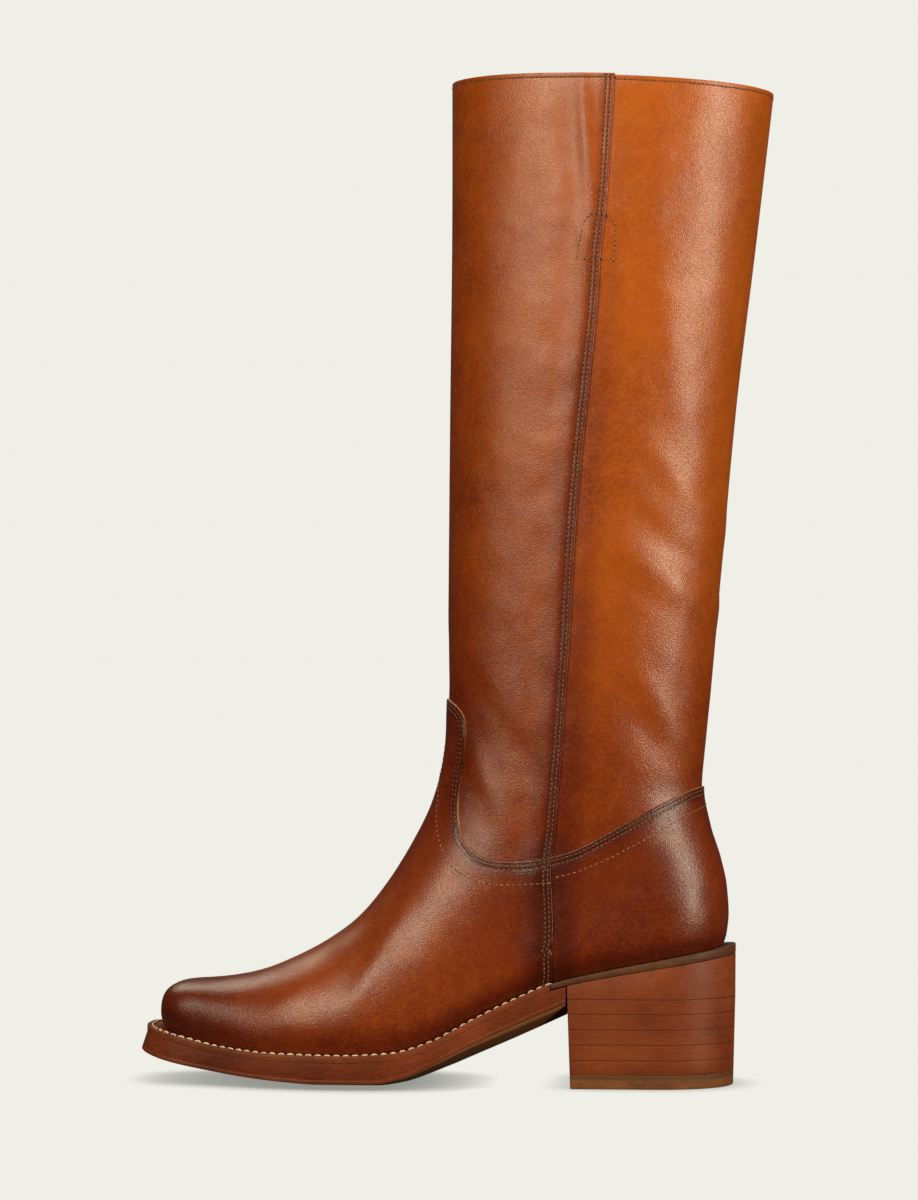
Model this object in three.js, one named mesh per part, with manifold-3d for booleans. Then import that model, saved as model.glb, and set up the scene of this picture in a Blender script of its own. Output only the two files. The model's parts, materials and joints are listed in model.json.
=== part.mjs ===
// Knee-high leather boot for the left foot, standing empty on its sole: a square toe, a stitched welt,
// a straight block heel and a plain pull-on shaft with a strap inside each side seam.
// Millimetres. +X runs towards the toe, +Y to the wearer's left (the outer side of this boot), +Z up.
// The origin is on the floor, under the middle of the boot's box.
import * as THREE from "three";
import { mergeVertices } from "three/addons/utils/BufferGeometryUtils.js";
import Module from "manifold-3d";

const wasm = await Module();
wasm.setup();

// ---- driving sizes ---------------------------------------------------------------------------------

const GAP = 0.4; // clearance between pieces that touch
const WALL = 2.2; // upper leather and lining together
const WELT = { thick: 3.0, inset: 12.0, end: -43.0 }; // the strip ends just ahead of the heel
const INSOLE = { thick: 3.0 };
const HEEL = { front: -50.2, lean: 1.5, taper: 1.3 }; // lean: the breast moves back towards the floor
const LIFT = { thick: 6.3 };
const TOE = { x: 134.4, reach: 20, tuck: 2.0, tuckHeight: 7 };
const TUCK_HEIGHT = 14; // above the feather line the upper reaches its full width here
const ANKLE = { low: 70, high: 160 }; // heights between which the foot's plan turns into the shaft's
const STRAP = { x: -60.7, bottom: 362, top: 432, width: 20, thick: 1.6, fold: 2.4, off: 1.7 };

// Top of the welt, and of the heel seat behind it, where the upper stands.
const SEAT = [
  { x: 145, z: 26.4 },
  { x: 123, z: 21.3 },
  { x: 103, z: 17.3 },
  { x: 80, z: 15.4 },
  { x: 50, z: 15.0 },
  { x: 27, z: 16.0 },
  { x: 10, z: 20.6 },
  { x: -8, z: 29.8 },
  { x: -28, z: 39.6 },
  { x: -44, z: 46.4 },
  { x: -64, z: 51.2 },
  { x: -85, z: 55.4 },
  { x: -128, z: 63.4 },
];

// Outsole, along its middle: height of the underside, how far its edges rise above that, and the share
// of the half width where the rise starts. The tread is flat on the floor from x 60 to x 34.
const UNDERSIDE = [
  { x: 145, z: 14.6, rise: 1.2, from: 0.35 },
  { x: 128, z: 9.3, rise: 1.6, from: 0.35 },
  { x: 112, z: 5.6, rise: 2.0, from: 0.35 },
  { x: 92, z: 2.4, rise: 2.4, from: 0.35 },
  { x: 72, z: 0.6, rise: 2.6, from: 0.35 },
  { x: 60, z: 0, rise: 2.6, from: 0.35 },
  { x: 34, z: 0, rise: 2.8, from: 0.38 },
  { x: 22, z: 1.8, rise: 3.2, from: 0.45 },
  { x: 10, z: 6.0, rise: 4.2, from: 0.55 },
  { x: -9, z: 14.0, rise: 5.8, from: 0.66 },
  { x: -30, z: 23.0, rise: 6.2, from: 0.7 },
  { x: -52, z: 33.0, rise: 5.6, from: 0.7 },
];

// At the toe the edge of the outsole stands square to its slope, so its foot reaches further forward.
const TOE_EDGE = { from: 95, full: 128, reach: 2.6 };

// Thickness of the heel seat, which thins out towards the welt.
const HEEL_SEAT = [
  { x: -40, thick: 2.4 },
  { x: -128, thick: 4.3 },
];

// Front outline of the upper seen from the side, from ahead of the toe box over the instep to the rim.
// reach: how far behind the outline the full width comes. It is followed by straight shin.
const FRONT = [
  { x: 170, z: 44.5, reach: 16 },
  { x: 120, z: 44.8, reach: 18 },
  { x: 106, z: 45.8, reach: 23 },
  { x: 89, z: 49.2, reach: 29 },
  { x: 72, z: 56.2, reach: 34 },
  { x: 58.5, z: 63.6, reach: 40 },
  { x: 45, z: 73.8, reach: 47 },
  { x: 32.6, z: 88.6, reach: 55 },
  { x: 21, z: 107, reach: 60 },
  { x: 12.2, z: 125, reach: 62 },
  { x: 7.2, z: 144, reach: 60 },
  { x: 4.9, z: 172, reach: 58.5 },
  { x: 4.7, z: 211, reach: 60.5 },
  { x: 3.9, z: 300, reach: 64 },
  { x: 3.0, z: 380, reach: 68.5 },
  { x: 2.9, z: 470, reach: 73 },
];

// Back outline of the upper, from the heel seat to the rim. side: half width of the shaft there.
const BACK = [
  { z: 50, x: -114.6, reach: 32, side: 32 },
  { z: 60, x: -117.8, reach: 32, side: 32.2 },
  { z: 67, x: -120.0, reach: 33, side: 32.4 },
  { z: 76, x: -120.9, reach: 35, side: 32.8 },
  { z: 88, x: -120.1, reach: 38, side: 33.4 },
  { z: 100, x: -117.6, reach: 42, side: 34.1 },
  { z: 115, x: -112.9, reach: 48, side: 34.9 },
  { z: 131, x: -109.6, reach: 54, side: 35.6 },
  { z: 148, x: -110.5, reach: 57, side: 36.2 },
  { z: 175, x: -113.1, reach: 58.5, side: 37.1 },
  { z: 211, x: -116.4, reach: 60.5, side: 38.6 },
  { z: 301, x: -124.6, reach: 64, side: 42.2 },
  { z: 373, x: -133.4, reach: 68.5, side: 44.6 },
  { z: 470, x: -144.9, reach: 73, side: 46.8 },
];

// Plan of the foot: outer and inner half widths, how much narrower the feather line is, the sideways
// place of the ridge, the exponent of the rounding and the margin of the welt around the upper.
const PLAN = [
  { x: 140, outer: 19.5, inner: 23, tuck: 1.8, ridge: -3.5, round: 3.5, margin: 9.0 },
  { x: 115, outer: 26, inner: 29.5, tuck: 1.8, ridge: -3.6, round: 3.2, margin: 6.0 },
  { x: 95, outer: 34, inner: 34.5, tuck: 1.8, ridge: -3.4, round: 2.7, margin: 5.4 },
  { x: 75, outer: 40.5, inner: 38.8, tuck: 1.9, ridge: -3.2, round: 2.5, margin: 5.4 },
  { x: 55, outer: 43.6, inner: 40.6, tuck: 2.1, ridge: -3.0, round: 2.35, margin: 5.4 },
  { x: 35, outer: 44.2, inner: 38.6, tuck: 2.6, ridge: -2.6, round: 2.25, margin: 5.3 },
  { x: 15, outer: 41.8, inner: 34.4, tuck: 3.6, ridge: -2.0, round: 2.2, margin: 5.0 },
  { x: -5, outer: 38, inner: 31, tuck: 4.6, ridge: -1.2, round: 2.15, margin: 4.4 },
  { x: -25, outer: 34.9, inner: 29.4, tuck: 4.6, ridge: -0.5, round: 2.1, margin: 3.8 },
  { x: -45, outer: 33.2, inner: 29.8, tuck: 3.8, ridge: 0, round: 2.1, margin: 3.4 },
  { x: -65, outer: 32.4, inner: 30.6, tuck: 3.0, ridge: 0, round: 2.1, margin: 3.2 },
  { x: -85, outer: 31.8, inner: 31.2, tuck: 2.6, ridge: 0, round: 2.1, margin: 3.4 },
  { x: -108, outer: 31.6, inner: 31.6, tuck: 2.4, ridge: 0, round: 2.15, margin: 4.8 },
  { x: -121, outer: 31.6, inner: 31.6, tuck: 2.4, ridge: 0, round: 2.15, margin: 5.7 },
];

// Rows of the upper, seen from the side: each is a loop from a place on the front outline to one on
// the back outline. sag: how much of the sole's own curve the row keeps.
const ROWS = [
  { frontX: 133, frontZ: 23.9, backX: -117.8, backZ: 61.5, sag: 1 },
  { frontX: 134, frontZ: 30, backX: -119.6, backZ: 65.5, sag: 0.97 },
  { frontX: 134, frontZ: 36, backX: -120.5, backZ: 69, sag: 0.92 },
  { frontX: 131, frontZ: 41, backX: -120.9, backZ: 72.5, sag: 0.85 },
  { frontX: 122, frontZ: 44, backX: -120.9, backZ: 76, sag: 0.77 },
  { frontX: 107, frontZ: 45.7, backX: -120.7, backZ: 80, sag: 0.68 },
  { frontX: 89, frontZ: 49.2, backX: -120, backZ: 85, sag: 0.58 },
  { frontX: 72, frontZ: 56.2, backX: -119, backZ: 91, sag: 0.47 },
  { frontX: 55, frontZ: 65.9, backX: -117, backZ: 99, sag: 0.36 },
  { frontX: 40, frontZ: 79.2, backX: -114.2, backZ: 109, sag: 0.25 },
  { frontX: 27, frontZ: 96.5, backX: -111, backZ: 121, sag: 0.16 },
  { frontX: 16, frontZ: 116, backX: -109.6, backZ: 135, sag: 0.08 },
  { frontX: 8.4, frontZ: 138, backX: -111, backZ: 152, sag: 0.03 },
  { frontX: 5, frontZ: 168, backX: -113.3, backZ: 176, sag: 0 },
  { frontX: 4.7, frontZ: 208, backX: -116.6, backZ: 211, sag: 0 },
  { frontX: 4.2, frontZ: 262, backX: -121, backZ: 262, sag: 0 },
  { frontX: 3.6, frontZ: 322, backX: -126.8, backZ: 320, sag: 0 },
  { frontX: 3.0, frontZ: 385, backX: -134.6, backZ: 381, sag: 0 },
  { frontX: 2.9, frontZ: 447.6, backX: -141.5, backZ: 442, sag: 0 },
];

const UPPER_STEPS = { half: 36, between: 1.5, ends: 0.5 }; // loop segments a side, rows a table row
const SOLE_STEPS = 44; // outline segments from toe to heel, on each side

// ---- tables and curves -----------------------------------------------------------------------------

// A smooth function through one column of a table, level where the column is level.
function column(rows, key, by = "x") {
  const sorted = [...rows].sort((a, b) => a[by] - b[by]);
  const at = sorted.map((row) => row[by]);
  const value = sorted.map((row) => row[key]);
  const rise = value.slice(1).map((v, i) => (v - value[i]) / (at[i + 1] - at[i]));
  const slope = value.map((_, i) => {
    if (i === 0) return rise[0];
    if (i === value.length - 1) return rise[i - 1];
    return rise[i - 1] * rise[i] <= 0 ? 0 : (2 * rise[i - 1] * rise[i]) / (rise[i - 1] + rise[i]);
  });
  return (x) => {
    if (x <= at[0]) return value[0] + slope[0] * (x - at[0]);
    if (x >= at.at(-1)) return value.at(-1) + slope.at(-1) * (x - at.at(-1));
    const i = at.findIndex((edge) => edge > x) - 1;
    const width = at[i + 1] - at[i];
    const t = (x - at[i]) / width;
    const blend = t * t * (3 - 2 * t);
    const bend = t * (1 - t) * ((1 - t) * slope[i] - t * slope[i + 1]) * width;
    return value[i] * (1 - blend) + value[i + 1] * blend + bend;
  };
}

const columns = (rows, keys, by) =>
  Object.fromEntries(keys.map((key) => [key, column(rows, key, by)]));

const seat = column(SEAT, "z");
const underside = columns(UNDERSIDE, ["z", "rise", "from"]);
const seatThickness = column(HEEL_SEAT, "thick");
const back = columns(BACK, ["x", "reach", "side"], "z");
const plan = columns(PLAN, ["outer", "inner", "tuck", "ridge", "round", "margin"]);
const mix = THREE.MathUtils.lerp;
const ease = THREE.MathUtils.smoothstep;

// The front outline as a fine chain of points, each with its reach.
const shin = new THREE.CatmullRomCurve3(
  FRONT.map((row) => new THREE.Vector3(row.x, row.z, row.reach)),
  false,
  "centripetal",
).getPoints(160);

// How far a point of the side view lies behind the front outline, and the reach there.
function behindFront(x, z) {
  let best = { distance: Infinity, reach: 1 };
  for (let i = 0; i < shin.length - 1; i++) {
    const a = shin[i];
    const b = shin[i + 1];
    const along = new THREE.Vector2(b.x - a.x, b.y - a.y);
    const from = new THREE.Vector2(x - a.x, z - a.y);
    const t = THREE.MathUtils.clamp(from.dot(along) / along.lengthSq(), 0, 1);
    const off = from.clone().addScaledVector(along, -t);
    if (off.length() < Math.abs(best.distance)) {
      const side = along.x * from.y - along.y * from.x > 0 ? 1 : -1;
      best = { distance: side * off.length(), reach: mix(a.z, b.z, t) };
    }
  }
  return best;
}

// ---- the upper's own surface -----------------------------------------------------------------------

const remains = (distance, reach) => Math.max(0, 1 - distance / reach);

// Half widths of the upper at a point of the side view. fill is above 0 inside its outline.
function across(x, z) {
  const height = z - seat(x);
  const shaft = ease(z, ANKLE.low, ANKLE.high);
  const under = Math.max(0, 1 - height / TUCK_HEIGHT) ** 2;
  const toeUnder = Math.max(0, 1 - height / TOE.tuckHeight) ** 2;
  const round = mix(plan.round(Math.min(x, 140)), 2, shaft);
  const front = behindFront(x, z);
  const fill =
    1 -
    remains(TOE.x - TOE.tuck * toeUnder - x, TOE.reach) ** round -
    remains(front.distance, front.reach) ** round -
    remains(x - back.x(z), back.reach(z)) ** round;
  const share = Math.max(0, fill) ** (1 / round);
  const tuck = plan.tuck(x) * under;
  return {
    fill,
    outer: mix(plan.outer(x) - plan.ridge(x) - tuck, back.side(z), shaft) * share,
    inner: mix(plan.inner(x) + plan.ridge(x) - tuck, back.side(z), shaft) * share,
    ridge: mix(plan.ridge(x), 0, shaft),
  };
}

// The first row stands just above the seat.
const first = ROWS[0];
first.frontZ = seat(first.frontX) + GAP;
first.backZ = seat(first.backX) + GAP;

// One row's place in the side view, from the front outline (0) to the back outline (1).
const soleCurve = (t) => {
  const x = mix(first.frontX, first.backX, t);
  return seat(x) + GAP - mix(seat(first.frontX) + GAP, seat(first.backX) + GAP, t);
};
function sideView(row, t) {
  return {
    x: mix(row.frontX, row.backX, t),
    z: mix(row.frontZ, row.backZ, t) + row.sag * soleCurve(t),
  };
}

// Moves the end of a row onto the outline, starting outside it.
function outlineAt(row, outside, inside) {
  for (let i = 0; i < 40; i++) {
    const middle = (outside + inside) / 2;
    const { x, z } = sideView(row, middle);
    if (across(x, z).fill > 0) inside = middle;
    else outside = middle;
  }
  return inside;
}

// Points of one side of a row, evenly spread and closer together at its two ends.
function halfLoop(row, side, count) {
  const start = outlineAt(row, -0.2, 0.3);
  const end = outlineAt(row, 1.2, 0.7);
  const fine = [];
  for (let i = 0; i <= 240; i++) {
    const t = mix(start, end, (1 - Math.cos((Math.PI * i) / 240)) / 2);
    const { x, z } = sideView(row, t);
    const here = across(x, z);
    const closed = i === 0 || i === 240;
    const y = closed ? here.ridge : here.ridge + (side > 0 ? here.outer : -here.inner);
    fine.push(new THREE.Vector3(x, y, z));
  }
  const length = [0];
  for (let i = 1; i < fine.length; i++) length.push(length[i - 1] + fine[i].distanceTo(fine[i - 1]));
  const points = [];
  for (let i = 0, k = 0; i <= count; i++) {
    const u = i / count;
    const wanted = (u - (UPPER_STEPS.ends * Math.sin(2 * Math.PI * u)) / (2 * Math.PI)) * length.at(-1);
    while (k < fine.length - 2 && length[k + 1] < wanted) k++;
    const t = THREE.MathUtils.clamp((wanted - length[k]) / (length[k + 1] - length[k]), 0, 1);
    points.push(fine[k].clone().lerp(fine[k + 1], t));
  }
  return points;
}

// A whole row: round the outer side to the heel, and back round the inner side to the toe.
function loop(row, count) {
  const outer = halfLoop(row, 1, count);
  const inner = halfLoop(row, -1, count);
  return [...outer.slice(0, -1), ...inner.slice(1).reverse()];
}

// The table's rows with others between them.
function allRows() {
  const keys = Object.keys(ROWS[0]);
  const numbered = ROWS.map((row, i) => ({ ...row, i }));
  const at = columns(numbered, keys, "i");
  const steps = Math.round((ROWS.length - 1) * UPPER_STEPS.between);
  return Array.from({ length: steps + 1 }, (_, s) => {
    const i = (s / steps) * (ROWS.length - 1);
    return Object.fromEntries(keys.map((key) => [key, at[key](i)]));
  });
}

// ---- closed solids ---------------------------------------------------------------------------------

// Triangles between sections with equal counts of points. cyclic joins the last section to the first;
// otherwise each end is closed by a strip, point j to point n - 1 - j.
function loft(sections, cyclic = false) {
  const n = sections[0].length;
  const points = sections.flat();
  const faces = [];
  const rows = cyclic ? sections.length : sections.length - 1;
  for (let r = 0; r < rows; r++) {
    const a = r * n;
    const b = ((r + 1) % sections.length) * n;
    for (let j = 0; j < n; j++) {
      const k = (j + 1) % n;
      faces.push([a + j, b + j, b + k], [a + j, b + k, a + k]);
    }
  }
  if (!cyclic) {
    const last = (sections.length - 1) * n;
    for (let j = 0; j < n / 2 - 1; j++) {
      faces.push([j, j + 1, n - 2 - j], [j, n - 2 - j, n - 1 - j]);
      faces.push([last + j, last + n - 2 - j, last + j + 1], [last + j, last + n - 1 - j, last + n - 2 - j]);
    }
  }
  return closed(points, faces);
}

// A geometry from points and faces, without doubled points or empty faces, facing outwards.
function closed(points, faces) {
  const geometry = new THREE.BufferGeometry().setFromPoints(points);
  geometry.setIndex(faces.flat());
  const merged = mergeVertices(geometry, 1e-3);
  const index = [...merged.index.array];
  const kept = [];
  for (let i = 0; i < index.length; i += 3) {
    const [a, b, c] = index.slice(i, i + 3);
    if (a !== b && b !== c && c !== a) kept.push(a, b, c);
  }
  merged.setIndex(volume(merged, kept) < 0 ? kept.reverse() : kept);
  return merged;
}

function volume(geometry, index) {
  const at = (i) => new THREE.Vector3().fromBufferAttribute(geometry.attributes.position, index[i]);
  let sum = 0;
  for (let i = 0; i < index.length; i += 3) sum += at(i).dot(at(i + 1).cross(at(i + 2)));
  return sum;
}

function solid(geometry) {
  const triVerts = new Uint32Array(geometry.index.array);
  const vertProperties = new Float32Array(geometry.attributes.position.array);
  return new wasm.Manifold(new wasm.Mesh({ numProp: 3, vertProperties, triVerts }));
}

function cut(geometry, ...tools) {
  const left = tools.reduce((body, tool) => body.subtract(solid(tool)), solid(geometry));
  const { vertProperties, triVerts } = left.getMesh();
  const position = new THREE.BufferAttribute(new Float32Array(vertProperties), 3);
  return new THREE.BufferGeometry()
    .setAttribute("position", position)
    .setIndex(new THREE.BufferAttribute(triVerts, 1));
}

// ---- the upper -------------------------------------------------------------------------------------

// Moves every point of a grid of loops inwards along the surface. The lowest and the highest loop
// move within their own planes, so that the wall stands flat on the sole and is cut level at the rim.
function inside(grid, depth) {
  const n = grid[0].length;
  return grid.map((row, r) => {
    const level = r === 0 || r === grid.length - 1;
    return row.map((point, i) => {
      const around = row[(i + 1) % n].clone().sub(row[(i + n - 1) % n]);
      const up = level
        ? new THREE.Vector3(0, 0, 1)
        : grid[r + 1][i].clone().sub(grid[r - 1][i]);
      const moved = point.clone().addScaledVector(around.cross(up).normalize(), -depth * turn(row));
      if (r === 0) moved.z = seat(moved.x) + GAP;
      return moved;
    });
  });
}

// 1 for a loop that runs anticlockwise from above, -1 for a clockwise one.
function turn(row) {
  let area = 0;
  row.forEach((a, i) => {
    const b = row[(i + 1) % row.length];
    area += a.x * b.y - a.y * b.x;
  });
  return Math.sign(area);
}

function upperWall() {
  const skin = allRows().map((row) => loop(row, UPPER_STEPS.half));
  const lining = inside(skin, WALL);
  const slices = skin[0].map((_, i) => [
    ...skin.map((row) => row[i]),
    ...lining.map((row) => row[i]).reverse(),
  ]);
  return loft(slices, true);
}

// ---- the pieces under it ---------------------------------------------------------------------------

// The feather line, where the upper meets the sole, as pairs of outer and inner points toe to heel.
function featherLine(count) {
  const outer = halfLoop(ROWS[0], 1, count);
  const inner = halfLoop(ROWS[0], -1, count);
  return { outer, inner };
}

// The feather line moved outwards in plan by a distance that may change along the boot.
function outline(distance, count = SOLE_STEPS) {
  const { outer, inner } = featherLine(count);
  const ring = [...outer.slice(0, -1), ...inner.slice(1).reverse()];
  const n = ring.length;
  const sign = turn(ring);
  const moved = ring.map((p, i) => {
    const a = ring[(i + n - 1) % n];
    const b = ring[(i + 1) % n];
    const out = new THREE.Vector2(b.y - a.y, a.x - b.x).normalize().multiplyScalar(sign);
    return new THREE.Vector2(p.x, p.y).addScaledVector(out, distance(p.x));
  });
  const pair = (i) => ({ outer: moved[i], inner: moved[(n - i) % n] });
  return Array.from({ length: count + 1 }, (_, i) => pair(i));
}

const soleOutline = () => outline((x) => plan.margin(x));

// Splits an outline of pairs at a plane across the boot. keep says which side of it stays.
function cropped(pairs, x, keep) {
  const inFront = keep === "front";
  const stays = (p) => (inFront ? p.x > x : p.x < x);
  const on = (side) => {
    const points = pairs.map((pair) => pair[side]);
    const edge = points.findIndex((p, i) => i > 0 && stays(p) !== stays(points[i - 1]));
    const a = points[edge - 1];
    const b = points[edge];
    return { edge, point: a.clone().lerp(b, (x - a.x) / (b.x - a.x)) };
  };
  const outer = on("outer");
  const inner = on("inner");
  const last = Math.min(outer.edge, inner.edge);
  const first = Math.max(outer.edge, inner.edge);
  const wall = { outer: outer.point, inner: inner.point };
  return inFront ? [...pairs.slice(0, last), wall] : [wall, ...pairs.slice(first)];
}

// A plate over an outline of pairs. top and bottom give heights from x and the share of the half width,
// and lean says how far forward the bottom lies.
const SHARES = [-1, -0.86, -0.7, -0.52, -0.3, 0, 0.3, 0.52, 0.7, 0.86, 1];
function plate(pairs, top, bottom, shares = SHARES, lean = () => 0) {
  return loft(
    pairs.map(({ outer, inner }) => {
      const level = (height, forward) => (share) => {
        const p = inner.clone().lerp(outer, (share + 1) / 2);
        const x = p.x + forward(p.x);
        return new THREE.Vector3(x, p.y, height(x, share));
      };
      return [
        ...shares.map(level(top, () => 0)),
        ...shares.map(level(bottom, lean)).reverse(),
      ];
    }),
  );
}

// A strip that follows an outline from one side of the boot round the toe to the other.
function strip(distance, width, end, top, bottom) {
  const edge = cropped(outline(distance), end, "front");
  const inner = cropped(outline((x) => distance(x) - width), end, "front");
  const walk = (pairs) => [
    ...pairs.map((pair) => pair.outer).reverse(),
    ...pairs.slice(1).map((pair) => pair.inner),
  ];
  const far = walk(edge);
  const near = walk(inner);
  const count = Math.min(far.length, near.length);
  const pick = (points, i) => points[Math.round((i * (points.length - 1)) / (count - 1))];
  return loft(
    Array.from({ length: count }, (_, i) => {
      const a = pick(far, i);
      const b = pick(near, i);
      const at = (p, height) => new THREE.Vector3(p.x, p.y, height(p.x));
      return [at(b, top), at(a, top), at(a, bottom), at(b, bottom)];
    }),
  );
}

const weltStrip = (grow = 0) =>
  strip(
    (x) => plan.margin(x) + 4 * grow,
    WELT.inset + 5 * grow,
    WELT.end - grow,
    (x) => seat(x) + 4 * grow,
    (x) => seat(x) - WELT.thick - grow,
  );

const heelSeat = (grow = 0) =>
  plate(
    cropped(outline((x) => plan.margin(x) + 4 * grow), WELT.end - GAP + grow, "back"),
    (x) => seat(x) + 4 * grow,
    (x) => seat(x) - seatThickness(x) - grow,
    [-1, 0, 1],
  );

function outsole() {
  const pairs = cropped(soleOutline(), HEEL.front + GAP, "front");
  const bottom = (x, share) => {
    const from = underside.from(x);
    const edge = Math.max(0, (Math.abs(share) - from) / (1 - from));
    return underside.z(x) + underside.rise(x) * edge ** 1.4;
  };
  const lean = (x) => TOE_EDGE.reach * ease(x, TOE_EDGE.from, TOE_EDGE.full);
  const body = plate(pairs, (x) => seat(x), bottom, SHARES, lean);
  return cut(body, weltStrip(GAP), heelSeat(GAP));
}

// The heel's outline at a height: it narrows a little towards the floor.
function heelOutline(z) {
  const share = 1 - z / seat(HEEL.front);
  const pairs = outline((x) => plan.margin(x) - HEEL.taper * share);
  return cropped(pairs, HEEL.front - HEEL.lean * share, "back");
}

function heelPart(bottom, top) {
  const low = heelOutline(bottom);
  const high = heelOutline(top(HEEL.front));
  return loft(
    low.map((pair, i) => {
      const upper = high[i];
      const at = (p, z) => new THREE.Vector3(p.x, p.y, z);
      return [
        at(upper.inner, top(upper.inner.x)),
        at(upper.outer, top(upper.outer.x)),
        at(pair.outer, bottom),
        at(pair.inner, bottom),
      ];
    }),
  );
}

const heelBlock = () => heelPart(LIFT.thick + GAP, (x) => seat(x) - seatThickness(x) - GAP);
const topLift = () => heelPart(0, () => LIFT.thick);

const insole = () =>
  plate(
    outline(() => -WALL - 2 * GAP),
    (x) => seat(x) + GAP + INSOLE.thick,
    (x) => seat(x) + GAP,
    [-1, 0, 1],
  );

// ---- pull straps -----------------------------------------------------------------------------------

// A folded strap beside the lining: up the wall, over at the top, and down to the same stitching.
function strap(side) {
  const halfWidth = (z) => across(STRAP.x, z).outer;
  const plies = [];
  const wallPly = { z: [STRAP.bottom, STRAP.top - STRAP.fold], off: 0 };
  const steps = 6;
  for (let i = 0; i <= steps; i++) plies.push({ z: mix(wallPly.z[0], wallPly.z[1], i / steps), off: 0 });
  for (let i = 1; i < 6; i++) {
    const turnAt = (Math.PI * i) / 6;
    plies.push({
      z: wallPly.z[1] + STRAP.fold * Math.sin(turnAt),
      off: STRAP.fold * (1 - Math.cos(turnAt)),
    });
  }
  for (let i = 0; i <= steps; i++) {
    const t = i / steps;
    plies.push({
      z: mix(wallPly.z[1], STRAP.bottom + 1, t),
      off: mix(2 * STRAP.fold, 2 * STRAP.thick + GAP, ease(t, 0.2, 0.8)),
    });
  }
  const sections = plies.map((here, i) => {
    const a = plies[Math.max(0, i - 1)];
    const b = plies[Math.min(plies.length - 1, i + 1)];
    const along = new THREE.Vector2(b.off - a.off, b.z - a.z).normalize();
    const corner = (x, through) => {
      const off = here.off + STRAP.off + along.y * through;
      const z = here.z - along.x * through;
      return new THREE.Vector3(x, side * (halfWidth(here.z) - WALL - off), z);
    };
    const left = STRAP.x - STRAP.width / 2;
    const right = STRAP.x + STRAP.width / 2;
    return [corner(left, 0), corner(right, 0), corner(right, STRAP.thick), corner(left, STRAP.thick)];
  });
  return loft(sections);
}

// ---- the boot --------------------------------------------------------------------------------------

const finish = (color, roughness) => new THREE.MeshStandardMaterial({ color, roughness, metalness: 0 });
const shaftLeather = finish(0xa8561f, 0.38);
const lining = finish(0xc79a66, 0.8);
const soleLeather = finish(0x7c4026, 0.45);
const seatLeather = finish(0x6f4a30, 0.55);
const stackedLeather = finish(0x7a3f22, 0.5);
const rubber = finish(0x684022, 0.75);
const insoleLeather = finish(0xb98a5a, 0.8);

const PIECES = [
  { name: "upper", geometry: upperWall(), material: shaftLeather },
  { name: "welt", geometry: weltStrip(), material: soleLeather },
  { name: "outsole", geometry: outsole(), material: soleLeather },
  { name: "heel_seat", geometry: heelSeat(), material: seatLeather },
  { name: "heel_stack", geometry: heelBlock(), material: stackedLeather },
  { name: "top_lift", geometry: topLift(), material: rubber },
  { name: "insole", geometry: insole(), material: insoleLeather },
  { name: "pull_strap_outer", geometry: strap(1), material: lining },
  { name: "pull_strap_inner", geometry: strap(-1), material: lining },
];

const boot = new THREE.Group();
for (const { name, geometry, material } of PIECES) {
  const mesh = new THREE.Mesh(geometry, material);
  mesh.name = name;
  boot.add(mesh);
}

export default boot;
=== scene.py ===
# %% [markdown]
# # A knee-high leather boot
# The boot is sewn from four thin pieces of leather over a lining, stitched to a welt, and stands on a
# leather sole and a stacked heel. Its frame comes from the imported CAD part: every piece here is built
# around that frame, in metres, and rides on its one body.

import json
import math

import bmesh
import bpy
import numpy as np
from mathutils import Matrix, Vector, kdtree

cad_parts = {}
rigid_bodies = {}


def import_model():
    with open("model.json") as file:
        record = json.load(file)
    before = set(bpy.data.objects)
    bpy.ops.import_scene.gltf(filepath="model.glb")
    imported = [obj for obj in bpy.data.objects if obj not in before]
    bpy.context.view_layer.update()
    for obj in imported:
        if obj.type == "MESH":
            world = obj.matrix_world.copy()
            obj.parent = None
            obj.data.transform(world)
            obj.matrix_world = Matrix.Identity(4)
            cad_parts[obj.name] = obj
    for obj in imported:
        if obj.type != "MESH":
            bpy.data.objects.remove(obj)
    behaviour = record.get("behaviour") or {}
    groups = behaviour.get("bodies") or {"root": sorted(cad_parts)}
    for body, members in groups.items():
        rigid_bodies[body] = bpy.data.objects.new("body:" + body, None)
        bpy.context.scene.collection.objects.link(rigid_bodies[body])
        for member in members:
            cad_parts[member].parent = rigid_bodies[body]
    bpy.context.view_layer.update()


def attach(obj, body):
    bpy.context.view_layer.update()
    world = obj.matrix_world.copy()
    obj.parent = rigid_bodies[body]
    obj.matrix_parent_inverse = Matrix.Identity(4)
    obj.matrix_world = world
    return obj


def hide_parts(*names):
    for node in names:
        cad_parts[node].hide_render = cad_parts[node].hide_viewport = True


for leftover in list(bpy.data.objects):
    bpy.data.objects.remove(leftover)
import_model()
MM = 0.001

# %% [markdown]
# ## Camera, light and floor
# A boot is drawn from the side, a little from behind, by a long lens that stands low, so that the shaft
# keeps straight edges and the rim shows no opening. Three soft boxes stand to the left and right of the
# camera and draw the long highlights down the polished shaft. One hangs high in front of the boot, and
# three more hang high behind it, so that its far side is lit too. The floor sweeps up behind into a pale
# wall. Both glow evenly in one pale colour, and a painted contact shadow darkens the floor's glow where
# the boot comes close to it.

# %% Camera
CAMERA = {"distance": 1.700, "turn": math.radians(5.0), "height": 0.180, "aim": 0.2158, "view": 0.540}


def point_at(thing, target):
    """Turns a camera or a lamp, which look along their own -Z, towards a point."""
    thing.rotation_euler = (Vector(target) - thing.location).to_track_quat("-Z", "Y").to_euler()


def add_object(name, data):
    thing = bpy.data.objects.new(name, data)
    bpy.context.scene.collection.objects.link(thing)
    return thing


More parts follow.
